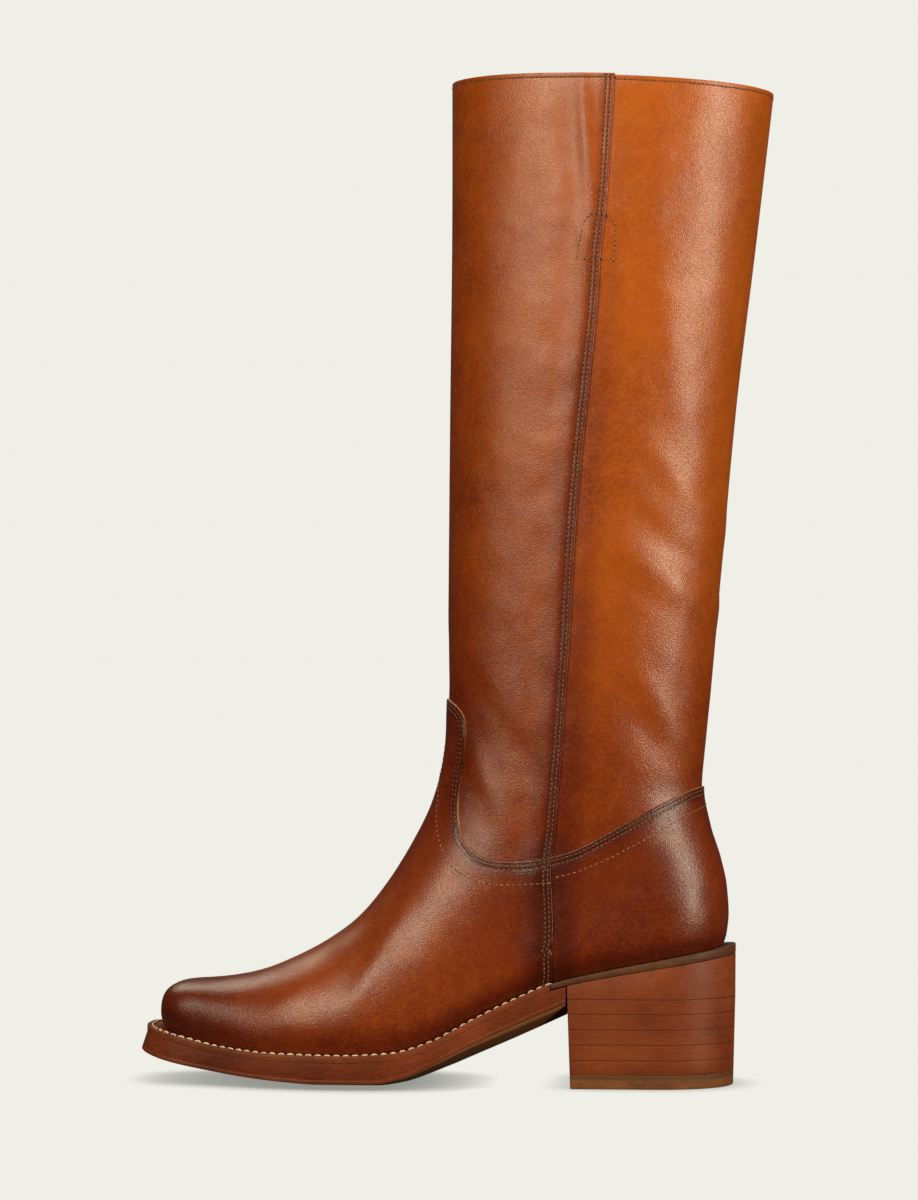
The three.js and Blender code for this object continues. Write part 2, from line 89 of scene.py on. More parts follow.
lens = bpy.data.cameras.new("camera")
lens.sensor_fit = "VERTICAL"
lens.angle = 2 * math.atan(CAMERA["view"] / 2 / CAMERA["distance"])
camera = add_object("camera", lens)
camera.location = (
    -CAMERA["distance"] * math.sin(CAMERA["turn"]),
    CAMERA["distance"] * math.cos(CAMERA["turn"]),
    CAMERA["height"],
)
point_at(camera, (0, 0, CAMERA["aim"]))
bpy.context.scene.camera = camera
bpy.context.scene.view_settings.view_transform = "Standard"
print("camera at", [round(c, 3) for c in camera.location])

# %% Soft boxes
WARM = (1.0, 0.97, 0.74)  # linear colour of every lamp


def soft_box(name, azimuth, distance, height, size, power, target=(-0.04, 0, 0.22)):
    """A rectangular lamp. Its azimuth is counted from straight in front of the camera to the left."""
    lamp = bpy.data.lights.new(name, "AREA")
    lamp.shape = "RECTANGLE"
    lamp.size, lamp.size_y = size
    lamp.energy = power
    lamp.color = WARM
    stand = add_object(name, lamp)
    turn = math.radians(azimuth) - CAMERA["turn"]
    stand.location = (distance * math.sin(turn), distance * math.cos(turn), height)
    point_at(stand, target)
    stand.visible_camera = False
    return stand


soft_box("soft_box_left", 51, 1.3, 0.48, (0.14, 0.70), 3.0)
soft_box("soft_box_high", 32, 1.5, 0.88, (0.32, 0.80), 15)
soft_box("soft_box_right", -57, 1.7, 0.62, (0.26, 1.20), 30)
soft_box("soft_box_over", 15, 1.2, 1.25, (0.9, 0.5), 9)
soft_box("soft_box_behind", 172, 1.1, 1.30, (1.2, 0.5), 6)
for turn in (150, -150):
    soft_box("soft_box_rear", turn, 1.5, 1.5, (0.7, 0.7), 5)

# %% The air of the studio
world = bpy.data.worlds.new("studio")
world.use_nodes = True
bpy.context.scene.world = world
background = world.node_tree.nodes["Background"]
background.inputs["Color"].default_value = (1, 0.98, 0.95, 1)
background.inputs["Strength"].default_value = 0.03
print(len(bpy.data.lights), "soft boxes in place")

# %% Floor
SWEEP = {"half": 12.0, "front": 30.0, "back": -2.6, "bend": 1.0, "top": 3.5, "steps": 12}
PALE = (0.863, 0.863, 0.799)  # linear colour of the studio paper
PAINTED_CONTACT_SHADOW = {"distance": 0.016, "share": 0.66}
profile = [(SWEEP["front"], 0.0), (SWEEP["back"], 0.0)]
for step in range(1, SWEEP["steps"] + 1):
    turn = math.pi / 2 * step / SWEEP["steps"]
    y = SWEEP["back"] - SWEEP["bend"] * math.sin(turn)
    profile.append((y, SWEEP["bend"] * (1 - math.cos(turn))))
profile.append((SWEEP["back"] - SWEEP["bend"], SWEEP["top"]))
corners = [(x, y, z) for y, z in profile for x in (-SWEEP["half"], SWEEP["half"])]
quads = [(2 * i, 2 * i + 1, 2 * i + 3, 2 * i + 2) for i in range(len(profile) - 1)]
paper = bpy.data.meshes.new("studio_paper")
paper.from_pydata(corners, [], quads)
floor = add_object("studio_paper", paper)
floor.visible_diffuse = False
floor.visible_glossy = False

# %% Paper
paper_finish = bpy.data.materials.new("studio_paper")
paper_finish.use_nodes = True
shader = paper_finish.node_tree.nodes["Principled BSDF"]
# Ambient occlusion darkens the paper's glow where the boot comes close: a painted contact shadow.
shadow_occlusion = paper_finish.node_tree.nodes.new("ShaderNodeAmbientOcclusion")
shadow_occlusion.inputs["Distance"].default_value = PAINTED_CONTACT_SHADOW["distance"]
shadow_occlusion.inputs["Color"].default_value = (*PALE, 1)
glow_with_painted_shadow = paper_finish.node_tree.nodes.new("ShaderNodeMix")
glow_with_painted_shadow.data_type = "RGBA"
glow_with_painted_shadow.inputs["Factor"].default_value = PAINTED_CONTACT_SHADOW["share"]
glow_with_painted_shadow.inputs["A"].default_value = (*PALE, 1)
paper_finish.node_tree.links.new(shadow_occlusion.outputs["Color"], glow_with_painted_shadow.inputs["B"])
paper_finish.node_tree.links.new(glow_with_painted_shadow.outputs["Result"], shader.inputs["Emission Color"])
shader.inputs["Base Color"].default_value = (0, 0, 0, 1)
shader.inputs["Roughness"].default_value = 0.9
shader.inputs["Specular IOR Level"].default_value = 0.0
shader.inputs["Emission Strength"].default_value = 1.0
paper.materials.append(paper_finish)
print("floor and sweep in place")

# %% [markdown]
# ## The last
# A boot takes its shape from the last it is made on. Here the last is a rule: a few rows of numbers give
# the side outline and the plan of the foot, smooth curves run through them, and one function says how wide
# the boot is at any point of its side view. Every panel, seam and stitch is placed with it, so all of
# them lie on the same surface. The same rows shape the CAD part, in millimetres.

# %% Rows and smooth columns


def table(names, *rows):
    """Rows with named columns."""
    return [dict(zip(names.split(), row)) for row in rows]


def column(rows, key, by="x"):
    """A smooth function through one column of a table, level where the column is level."""
    rows = sorted(rows, key=lambda row: row[by])
    at = np.array([row[by] for row in rows], float)
    value = np.array([row[key] for row in rows], float)
    rise = np.diff(value) / np.diff(at)
    same_way = rise[:-1] * rise[1:] > 0
    total = np.where(same_way, rise[:-1] + rise[1:], 1)
    slope = np.concatenate([rise[:1], np.where(same_way, 2 * rise[:-1] * rise[1:] / total, 0), rise[-1:]])

    def smooth(x):
        x = np.asarray(x, float)
        i = np.clip(np.searchsorted(at, x, side="right") - 1, 0, len(at) - 2)
        width = at[i + 1] - at[i]
        t = (x - at[i]) / width
        blend = t * t * (3 - 2 * t)
        bend = t * (1 - t) * ((1 - t) * slope[i] - t * slope[i + 1]) * width
        inside = value[i] * (1 - blend) + value[i + 1] * blend + bend
        before = value[0] + slope[0] * (x - at[0])
        after = value[-1] + slope[-1] * (x - at[-1])
        return np.where(x <= at[0], before, np.where(x >= at[-1], after, inside))

    return smooth


# %% The rows, in millimetres. x runs from heel to toe, z up
# The line where the upper meets the sole.
SEAT = table(
    "x z",
    (145, 26.4), (123, 21.3), (103, 17.3), (80, 15.4), (50, 15.0), (27, 16.0), (10, 20.6),
    (-8, 29.8), (-28, 39.6), (-44, 46.4), (-64, 51.2), (-85, 55.4), (-128, 63.4),
)
# The underside of the sole, and how far its edge rises from a share of the half width on.
UNDERSIDE = table(
    "x z rise from",
    (145, 14.6, 1.2, 0.35), (128, 9.3, 1.6, 0.35), (112, 5.6, 2.0, 0.35), (92, 2.4, 2.4, 0.35),
    (72, 0.6, 2.6, 0.35), (60, 0, 2.6, 0.35), (34, 0, 2.8, 0.38), (22, 1.8, 3.2, 0.45),
    (10, 6.0, 4.2, 0.55), (-9, 14.0, 5.8, 0.66), (-30, 23.0, 6.2, 0.7), (-52, 33.0, 5.6, 0.7),
)
# The outlines of front and back. reach: how far behind them the boot has its full width. side: half the
# width of the shaft.
FRONT = table(
    "x z reach",
    (170, 44.5, 16), (120, 44.8, 18), (106, 45.8, 23), (89, 49.2, 29), (72, 56.2, 34),
    (58.5, 63.6, 40), (45, 73.8, 47), (32.6, 88.6, 55), (21, 107, 60), (12.2, 125, 62),
    (7.2, 144, 60), (4.9, 172, 58.5), (4.7, 211, 60.5), (3.9, 300, 64), (3.0, 380, 68.5),
    (2.9, 470, 73),
)
BACK = table(
    "z x reach side",
    (50, -114.6, 32, 32), (60, -117.8, 32, 32.2), (67, -120.0, 33, 32.4), (76, -120.9, 35, 32.8),
    (88, -120.1, 38, 33.4), (100, -117.6, 42, 34.1), (115, -112.9, 48, 34.9), (131, -109.6, 54, 35.6),
    (148, -110.5, 57, 36.2), (175, -113.1, 58.5, 37.1), (211, -116.4, 60.5, 38.6),
    (301, -124.6, 64, 42.2), (373, -133.4, 68.5, 44.6), (470, -144.9, 73, 46.8),
)
# The plan of the foot: half widths, tuck at the feather line, ridge off the middle, roundness of the
# section, and how far the sole stands out.
PLAN = table(
    "x outer inner tuck ridge round margin",
    (140, 19.5, 23, 1.8, -3.5, 3.5, 9.0), (115, 26, 29.5, 1.8, -3.6, 3.2, 6.0),
    (95, 34, 34.5, 1.8, -3.4, 2.7, 5.4), (75, 40.5, 38.8, 1.9, -3.2, 2.5, 5.4),
    (55, 43.6, 40.6, 2.1, -3.0, 2.35, 5.4), (35, 44.2, 38.6, 2.6, -2.6, 2.25, 5.3),
    (15, 41.8, 34.4, 3.6, -2.0, 2.2, 5.0), (-5, 38, 31, 4.6, -1.2, 2.15, 4.4),
    (-25, 34.9, 29.4, 4.6, -0.5, 2.1, 3.8), (-45, 33.2, 29.8, 3.8, 0, 2.1, 3.4),
    (-65, 32.4, 30.6, 3.0, 0, 2.1, 3.2), (-85, 31.8, 31.2, 2.6, 0, 2.1, 3.4),
    (-108, 31.6, 31.6, 2.4, 0, 2.15, 4.8), (-121, 31.6, 31.6, 2.4, 0, 2.15, 5.7),
)
# Where each row of the grid starts and ends, and how much of the sole's curve it follows.
ROWS = table(
    "frontX frontZ backX backZ sag",
    (133, 23.9, -117.8, 61.5, 1), (134, 30, -119.6, 65.5, 0.97), (134, 36, -120.5, 69, 0.92),
    (131, 41, -120.9, 72.5, 0.85), (122, 44, -120.9, 76, 0.77), (107, 45.7, -120.7, 80, 0.68),
    (89, 49.2, -120, 85, 0.58), (72, 56.2, -119, 91, 0.47), (55, 65.9, -117, 99, 0.36),
    (40, 79.2, -114.2, 109, 0.25), (27, 96.5, -111, 121, 0.16), (16, 116, -109.6, 135, 0.08),
    (8.4, 138, -111, 152, 0.03), (5, 168, -113.3, 176, 0), (4.7, 208, -116.6, 211, 0),
    (4.2, 262, -121, 262, 0), (3.6, 322, -126.8, 320, 0), (3.0, 385, -134.6, 381, 0),
    (2.9, 447.6, -141.5, 442, 0),
)

# %% Sizes and smooth columns of the rows
GAP = 0.4
WALL = 2.2
TOE = {"x": 134.4, "reach": 20, "tuck": 2.0, "height": 7}
TUCK_HEIGHT = 14
ANKLE = {"low": 70, "high": 160}

seat = column(SEAT, "z")
underside, rise, rise_from = (column(UNDERSIDE, key) for key in ("z", "rise", "from"))
back_x, back_reach, back_side = (column(BACK, key, "z") for key in ("x", "reach", "side"))
plan = {key: column(PLAN, key) for key in ("outer", "inner", "tuck", "ridge", "round", "margin")}
ROWS[0]["frontZ"] = float(seat(ROWS[0]["frontX"])) + GAP
ROWS[0]["backZ"] = float(seat(ROWS[0]["backX"])) + GAP
TOP = len(ROWS) - 1
print("the seat rises from", float(seat(55)), "mm at the ball to", float(seat(-120)), "mm at the heel")

# %% How wide the boot is


def mix(a, b, t):
    return a + (b - a) * t


def ease(x, low, high):
    t = np.clip((x - low) / (high - low), 0, 1)
    return t * t * (3 - 2 * t)


def rounded_line(points, steps):
    """A centripetal curve through points, as a chain of short lines."""
    p = np.array(points, float)
    p = np.vstack([2 * p[0] - p[1], p, 2 * p[-1] - p[-2]])
    gap = np.sqrt(np.linalg.norm(np.diff(p, axis=0), axis=1))
    chain = []
    for s in np.linspace(0, len(points) - 1, steps + 1):
        i = min(int(s), len(points) - 2)
        t = s - i
        a, b, c, d = p[i : i + 4]
        g0, g1, g2 = gap[i : i + 3]
        start = ((b - a) / g0 - (c - a) / (g0 + g1) + (c - b) / g1) * g1
        end = ((c - b) / g1 - (d - b) / (g1 + g2) + (d - c) / g2) * g1
        cubic = 2 * b - 2 * c + start + end
        square = -3 * b + 3 * c - 2 * start - end
        chain.append(((cubic * t + square) * t + start) * t + b)
    return np.array(chain)


def chain_length(points):
    """How far along a chain of points each of them lies."""
    return np.concatenate([[0], np.cumsum(np.linalg.norm(np.diff(points, axis=0), axis=1))])


def walked(points, length, count):
    """Points of a chain at even steps of its length."""
    wanted = np.linspace(0, length[-1], count)
    return np.stack([np.interp(wanted, length, points[:, k]) for k in range(points.shape[1])], axis=1)


shin = rounded_line([(row["x"], row["z"], row["reach"]) for row in FRONT], 160)


def behind_front(x, z):
    """How far points of the side view lie behind the front outline, and the reach there."""
    a, along = shin[:-1], np.diff(shin, axis=0)
    dx, dz = x[..., None] - a[:, 0], z[..., None] - a[:, 1]
    t = np.clip((dx * along[:, 0] + dz * along[:, 1]) / (along[:, 0] ** 2 + along[:, 1] ** 2), 0, 1)
    away = np.hypot(dx - t * along[:, 0], dz - t * along[:, 1])
    best = away.argmin(axis=-1)[..., None]
    side = np.sign(along[:, 0] * dz - along[:, 1] * dx)
    pick = lambda values: np.take_along_axis(values, best, -1)[..., 0]
    return pick(side * away), pick(a[:, 2] + t * along[:, 2])


def across(x, z):
    """Half widths of the upper at points of its side view. fill is above 0 inside its outline."""
    height = z - seat(x)
    shaft = ease(z, ANKLE["low"], ANKLE["high"])
    under = np.maximum(0, 1 - height / TUCK_HEIGHT) ** 2
    toe_under = np.maximum(0, 1 - height / TOE["height"]) ** 2
    power = mix(plan["round"](np.minimum(x, PLAN[0]["x"])), 2, shaft)
    distance, reach = behind_front(x, z)
    remains = lambda away, full: np.maximum(0, 1 - away / full) ** power
    fill = 1 - remains(TOE["x"] - TOE["tuck"] * toe_under - x, TOE["reach"])
    fill = fill - remains(distance, reach) - remains(x - back_x(z), back_reach(z))
    share = np.maximum(0, fill) ** (1 / power)
    tuck, ridge = plan["tuck"](x) * under, plan["ridge"](x)
    outer = mix(plan["outer"](x) - ridge - tuck, back_side(z), shaft) * share
    inner = mix(plan["inner"](x) + ridge - tuck, back_side(z), shaft) * share
    return fill, outer, inner, mix(ridge, 0, shaft)


numbered = [{**row, "i": i} for i, row in enumerate(ROWS)]
row_column = {key: column(numbered, key, "i") for key in ROWS[0]}
ball = across(np.array(55.0), np.array(30.0))
print("half widths at the ball, outer and inner, mm:", [round(float(wide), 1) for wide in ball[1:3]])


def side_view(v, t):
    """Where row v of the upper stands in the side view, from the front outline (0) to the back (1)."""
    row = {key: f(v) for key, f in row_column.items()}
    first = ROWS[0]
    x = mix(row["frontX"], row["backX"], t)
    sole = seat(mix(first["frontX"], first["backX"], t)) + GAP - mix(first["frontZ"], first["backZ"], t)
    return x, mix(row["frontZ"], row["backZ"], t) + row["sag"] * sole


# %% [markdown]
# ## One fine grid over the whole upper
# The rule is slow to ask for every vertex, so it is asked once for a fine grid. u runs round the boot,
# from 0 at the front to 1 and -1 at the back, positive on the outer side. v runs up it, one step for
# each row of the table. Between grid points a smooth bicubic curve is used, which keeps the polish of the
# leather free of facets. The creases are pressed into this grid, so leather, lining and stitches share
# them.

# %% The grid
PER_ROW = 20
HALF = 180
RAY = 240  # steps from front to back in which a row is first measured
v_grid = np.arange(TOP * PER_ROW + 1) / PER_ROW


def outline_at(outside, inside):
    """Where each row meets the outline, by halving."""
    outside, inside = np.full(len(v_grid), outside), np.full(len(v_grid), inside)
    for _ in range(40):
        middle = (outside + inside) / 2
        fill = across(*side_view(v_grid, middle))[0]
        outside = np.where(fill > 0, outside, middle)
        inside = np.where(fill > 0, middle, inside)
    return inside


def build_grid():
    start, end = outline_at(-0.2, 0.3), outline_at(1.2, 0.7)
    spread = (1 - np.cos(np.pi * np.arange(RAY + 1) / RAY)) / 2
    rings = []
    for v, low, high in zip(v_grid, start, end):
        x, z = side_view(v, mix(low, high, spread))
        _, outer, inner, ridge = across(x, z)
        outer[[0, -1]] = inner[[0, -1]] = 0
        half_rings = []
        for y in (ridge + outer, ridge - inner):
            line = np.stack([x, y, z], axis=1)
            half_rings.append(walked(line, chain_length(line), HALF + 1))
        rings.append(np.vstack([half_rings[1][:0:-1], half_rings[0][:-1]]))
    return np.array(rings)


grid = build_grid()
print("grid of the upper:", grid.shape[0], "rows of", grid.shape[1], "points")

# %% Sampling it
MARGIN = 8


def with_margins(values):
    """A few more rows above and below, in line with the last ones."""
    step = np.arange(1, MARGIN + 1)[:, None, None]
    low = values[0] - (values[1] - values[0]) * step[::-1]
    high = values[-1] + (values[-1] - values[-2]) * step
    return np.concatenate([low, values, high])


def cubic_weights(t):
    """The weights of four neighbours, for a place between the middle two."""
    return [
        -0.5 * t + t * t - 0.5 * t**3,
        1 - 2.5 * t * t + 1.5 * t**3,
        0.5 * t + 2 * t * t - 1.5 * t**3,
        -0.5 * t * t + 0.5 * t**3,
    ]


class Skin:
    """The surface of the upper, in millimetres."""

    def __init__(self, values):
        self.values = with_margins(values)

    def at(self, u, v):
        u, v = np.broadcast_arrays(np.asarray(u, float), np.asarray(v, float))
        column_at = (u + 1) * HALF
        row_at = np.clip(v * PER_ROW, 2 - MARGIN, TOP * PER_ROW + MARGIN - 3)
        i, j = np.floor(row_at).astype(int), np.floor(column_at).astype(int)
        upward, sideways = cubic_weights(row_at - i), cubic_weights(column_at - j)
        result = 0
        for a in range(4):
            for b in range(4):
                cell = self.values[i + a + MARGIN - 1, (j + b - 1) % (2 * HALF)]
                result = result + (upward[a] * sideways[b])[..., None] * cell
        return result

    def slopes(self, u, v, step=0.004):
        du = (self.at(u + step, v) - self.at(u - step, v)) / (2 * step)
        dv = (self.at(u, v + step * 5) - self.at(u, v - step * 5)) / (10 * step)
        return du, dv

    def normal(self, u, v):
        normal = np.cross(*self.slopes(u, v))
        return normal / np.linalg.norm(normal, axis=-1, keepdims=True)

    def lifted(self, u, v, lift=0.0):
        lift = np.asarray(lift, float)
        return self.at(u, v) + self.normal(u, v) * lift[..., None]


smooth_skin = Skin(grid)

# %% [markdown]
# ## Creases
# Leather that has been pulled over a last and worn a little lies in soft folds: beside the strap, above
# the ankle, down the back of the calf and over the instep. Each one is a short ridge or trough, given
# in the side view: where its middle is, which way it runs, how long and how wide it is, and how high.

# %% Pressing the creases in
CREASES = table(
    "side x z way long wide high",
    (1, -59, 425, 86, 30, 3.0, 0.9), (1, -66, 420, 84, 34, 4.0, -0.5), (1, -52, 415, 84, 40, 6.0, -0.5),
    (1, -57.5, 372, 80, 9, 1.6, 0.5), (1, -63, 372, 84, 13, 5.0, 0.5), (1, -100, 236, 38, 34, 7.0, -0.9),
    (1, -96, 222, 34, 30, 6.0, 0.8), (1, -104, 262, 48, 30, 6.0, 0.6), (1, -20, 168, 55, 26, 6.0, 0.9),
    (1, -12, 176, 52, 28, 5.0, -0.8), (1, -28, 152, 60, 24, 6.0, -0.8), (1, -14, 135, 66, 26, 5.0, 0.8),
    (1, -92, 168, 60, 26, 7.0, 0.7), (1, -84, 160, 58, 22, 6.0, -0.6), (1, -98, 330, 80, 60, 9.0, 0.7),
    (1, 44, 52, 118, 22, 6.0, -0.8), (1, 34, 58, 116, 24, 6.0, 0.6), (1, 60, 44, 112, 18, 6.0, -0.5),
    (-1, -58, 420, 86, 30, 4.0, 0.7), (-1, -98, 240, 40, 34, 7.0, -0.9), (-1, -96, 226, 36, 30, 6.0, 0.8),
    (-1, -18, 165, 56, 26, 6.0, 0.8), (-1, -12, 176, 52, 28, 5.0, -0.7), (-1, -28, 150, 60, 24, 6.0, -0.7),
    (-1, 46, 50, 118, 20, 6.0, -0.7), (-1, 36, 57, 116, 22, 6.0, 0.6),
)


def pressed(values):
    """The grid with every crease pushed out or in along the leather's normal."""
    normal = smooth_skin.normal(u_all, v_all)
    side = np.sign(np.where(np.abs(u_all) == 1, 0, u_all))
    push = np.zeros(values.shape[:2])
    for fold in CREASES:
        way = math.radians(fold["way"])
        dx, dz = values[..., 0] - fold["x"], values[..., 2] - fold["z"]
        along = dx * math.cos(way) + dz * math.sin(way)
        beside = dz * math.cos(way) - dx * math.sin(way)
        shape = np.exp(-((beside / fold["wide"]) ** 2) - (along / fold["long"]) ** 2)
        push += fold["high"] * shape * (side == fold["side"])
    return values + normal * push[..., None]


u_all, v_all = np.meshgrid((np.arange(2 * HALF) - HALF) / HALF, v_grid)
skin = Skin(pressed(grid))
print(len(CREASES), "creases pressed in")

# %% [markdown]
# ## Lines on the leather
# Seams, edges and rows of stitches are lines on the surface. Each is drawn in the side view through a few
# points, set onto the surface by search, and kept as a chain of (u, v) places. From such a chain come its
# length, evenly spaced points, and a line that runs beside it at a fixed distance, as a sewing machine's
# guide would give.

# %% Places and lines
SIDES = (1, -1)
sample_u, sample_v = np.meshgrid(np.arange(HALF + 1) / HALF, v_grid[::2])
seen = {side: skin.at(side * sample_u, sample_v)[..., [0, 2]] for side in SIDES}
NEIGHBOURS = np.array([(a, b) for a in (-1, 0, 1) for b in (-1, 0, 1)], float)


def place(x, z, side):
    """(u, v) of the point of one side of the boot that is seen at x, z."""
    near = np.abs(seen[side] - (x, z)).sum(axis=-1)
    k = np.unravel_index(near.argmin(), near.shape)
    here, step = np.array([sample_u[k], sample_v[k]]), np.array([0.005, 0.06])
    for _ in range(14):
        tries = here + NEIGHBOURS * step
        tries[:, 0] = np.clip(tries[:, 0], 0, 1)
        away = np.linalg.norm(skin.at(side * tries[:, 0], tries[:, 1])[:, [0, 2]] - (x, z), axis=1)
        here = tries[away.argmin()]
        step = step * 0.65
    return side * here[0], here[1]


def line(points, side, steps=70):
    """A smooth line on the surface through points of the side view."""
    return np.array([place(x, z, side) for x, z in rounded_line(points, steps)])


def length_along(uv, lift=0.0):
    return chain_length(skin.lifted(uv[:, 0], uv[:, 1], np.broadcast_to(lift, len(uv))))


def even(uv, count):
    """The same line with evenly spaced points."""
    return walked(uv, length_along(uv), count)


def beside(uv, distance):
    """A line that runs to the left of another, seen from outside, in millimetres."""
    points = skin.at(uv[:, 0], uv[:, 1])
    way = np.gradient(points, axis=0)
    way /= np.linalg.norm(way, axis=1, keepdims=True)
    left = np.cross(skin.normal(uv[:, 0], uv[:, 1]), way)
    du, dv = skin.slopes(uv[:, 0], uv[:, 1])
    dot = lambda a, b: (a * b).sum(axis=1)
    uu, uw, ww, ul, wl = dot(du, du), dot(du, dv), dot(dv, dv), dot(du, left), dot(dv, left)
    scale = distance / (uu * ww - uw * uw)
    return uv + np.stack([(ul * ww - wl * uw) * scale, (wl * uu - ul * uw) * scale], axis=1)


def away_from(points, chain):
    """Distance of points to the nearest point of a chain, in space."""
    flat = points.reshape(-1, 3).tolist()
    return np.array([chain.find(point)[2] for point in flat]).reshape(points.shape[:-1])


# %% The seams
SEAM = [(-73, 452), (-72.4, 442), (-68.8, 388), (-66.6, 371), (-64.9, 346), (-55.9, 259), (-51.7, 193),
        (-48.7, 151), (-46.9, 130), (-45.4, 112), (-43.8, 102), (-43.6, 92), (-44.4, 71), (-43.4, 44)]
VAMP_EDGE = [(4.5, 171.5), (3.2, 170.4), (0.3, 168.4), (-3.3, 164.3), (-4.7, 158.5), (-4.2, 150.5),
             (-3.1, 142.1), (-2.0, 132.8), (-1.5, 124), (-2.1, 117), (-4.1, 110.4), (-7.5, 105.7),
             (-11.8, 102.3), (-18.3, 100.4), (-26.7, 100), (-35.2, 100.6), (-43.8, 101.7)]
COUNTER_EDGE = [(-43.8, 102), (-53.4, 104.7), (-60.5, 108.1), (-67.4, 111.8), (-76.2, 116.7), (-87.3, 122.8),
                (-98.3, 128.2), (-106, 131.4), (-109.6, 132.4)]

seams = {side: line(SEAM, side)[::-1] for side in SIDES}
vamp_lines, counter_lines = {}, {}
for side in SIDES:
    vamp_lines[side] = line(VAMP_EDGE, side)
    vamp_lines[side][0, 0] = 0
    counter_lines[side] = line(COUNTER_EDGE, side)
    counter_lines[side][-1, 0] = side
    vamp_lines[side][-1] = counter_lines[side][0]


def seam_u(v, side):
    """Where the side seam runs at a height."""
    return np.interp(v, seams[side][:, 1], seams[side][:, 0])


def edge_v(u):
    """Height of the top edge of vamp and counter."""
    u = (np.asarray(u) + 1) % 2 - 1
    result = np.zeros(u.shape)
    for side in SIDES:
        whole = np.vstack([vamp_lines[side], counter_lines[side][1:]])
        order = np.argsort(np.abs(whole[:, 0]), kind="stable")
        value = np.interp(np.abs(u), np.abs(whole[order, 0]), whole[order, 1])
        result = np.where(np.sign(u + 1e-9) == side, value, result)
    return result


def chain_of(*lines):
    """The points of some lines, close together and sorted for quick search."""
    dense = [even(part, 5 * round(length_along(part)[-1])) for part in lines]
    points = np.vstack([skin.at(uv[:, 0], uv[:, 1]) for uv in dense])
    tree = kdtree.KDTree(len(points))
    for index, point in enumerate(points):
        tree.insert(point, index)
    tree.balance()
    return tree


seam_chain = chain_of(*seams.values())
edge_chain = chain_of(*vamp_lines.values(), *counter_lines.values())
junction = {side: vamp_lines[side][-1] for side in SIDES}
for side in SIDES:
    print("side", side, "seam", round(length_along(seams[side])[-1]), "mm, vamp edge",
          round(length_along(vamp_lines[side])[-1]), "mm")

# %% [markdown]
# ## How the leather lies
# Where two pieces overlap, the upper one stands proud by the thickness of the leather, and the lower one
# sinks a little under it. That step is what makes a seam look sewn and not drawn, so every piece gets its
# lift from one rule: how near it is to the side seam, and how near to the edge of the vamp.

# %% Lift
LEATHER = 1.0
SINK = 0.55
LAP = (5, 16)  # mm from a line to where each effect is full, and to where it is gone
RAISE = (3, 22)
DIP = (2, 24)


def near(distance, full, fade):
    """1 up to the first distance, 0 from the second on."""
    return 1 - ease(distance, full, fade)


def seam_distance(u, v):
    """Distance to the side seam, above 0 in front of it."""
    u = (np.asarray(u) + 1) % 2 - 1
    limit = np.where(u > 0, seam_u(v, 1), -seam_u(v, -1))
    return away_from(skin.at(u, v), seam_chain) * np.where(np.abs(u) < limit, 1, -1)


def edge_distance(u, v):
    """Distance to the top edge of vamp and counter, above 0 over it."""
    return away_from(skin.at(u, v), edge_chain) * np.where(v > edge_v(u), 1, -1)


def lift_of(u, v, front, low):
    """Lift of a panel. front: it laps over the back ones. low: it laps over the shaft."""
    to_seam, to_edge = seam_distance(u, v), edge_distance(u, v)
    lap = LEATHER * near(np.maximum(to_seam, 0), *LAP) * front
    raised = (LEATHER - SINK) * near(np.maximum(-to_edge, 0), *RAISE)
    sunk = -SINK * near(np.maximum(to_edge, 0), *DIP)
    return lap + np.where(low, raised, sunk)


def top_lift(u, v):
    """Lift of whichever panel is outermost at a place."""
    return lift_of(u, v, seam_distance(u, v) > 0, v < edge_v(u))


print("leather", LEATHER, "mm thick, sunk by", SINK, "mm under a vamp or counter")


# %% [markdown]
# ## Finishes
# The leather is dyed tan and burnished by hand: dark at the toe, the heel and along every seam, light in the
# middle of each panel. Painted shade is added to it: the shaft grows darker lower down, and the vamp at the
# waist. How dark it is at a point is stored with the piece as an attribute, and the material adds the
# cloudiness and the fine grain. Cut edges show raw leather, painted lighter on the top edges of vamp and
# counter where they catch the light, and darker on the seams and the rim where they lie in shade.

# %% Node helpers


def node_maker(tree):
    """A short way to add nodes to a tree: their links, then their values, then their settings."""
    def node(kind, links=None, values=None, **settings):
        made = tree.nodes.new(kind)
        for key, value in settings.items():
            setattr(made, key, value)
        for key, value in (values or {}).items():
            made.inputs[key].default_value = value
        for key, socket in (links or {}).items():
            tree.links.new(socket, made.inputs[key])
        return made

    return node


def new_finish(name):
    """A material, its Principled shader and ways to add nodes and links to it."""
    finish = bpy.data.materials.new(name)
    finish.use_nodes = True
    tree = finish.node_tree
    return finish, tree.nodes["Principled BSDF"], node_maker(tree), tree.links.new


def srgb(red, green, blue):
    """The linear colour of a paint given by its everyday 0 to 255 values."""
    curve = lambda c: c / 12.92 if c <= 0.04045 else ((c + 0.055) / 1.055) ** 2.4
    return (*[curve(c / 255) for c in (red, green, blue)], 1)


def colour_ramp(node, factor, stops):
    """A colour for each factor, through (position, everyday colour) stops."""
    ramp = node("ShaderNodeValToRGB", {"Fac": factor})
    elements = ramp.color_ramp.elements
    while len(elements) < len(stops):
        elements.new(1.0)
    for element, (position, colour) in zip(elements, stops):
        element.position = position
        element.color = srgb(*colour)
    return ramp.outputs["Color"]


def noise(node, spot, scale, detail, rough=0.5):
    return node("ShaderNodeTexNoise", {"Vector": spot}, {"Scale": scale, "Detail": detail, "Roughness": rough})


def maths(node, operation, links, values=None):
    """One sum on sockets, given by their places in it, and on fixed numbers."""
    return node("ShaderNodeMath", links, values, operation=operation).outputs[0]


def emboss(node, link, shader, height, strength, distance):
    """Fine relief from a height socket."""
    bump = node("ShaderNodeBump", {"Height": height}, {"Strength": strength, "Distance": distance})
    link(bump.outputs["Normal"], shader.inputs["Normal"])


# %% Burnished leather


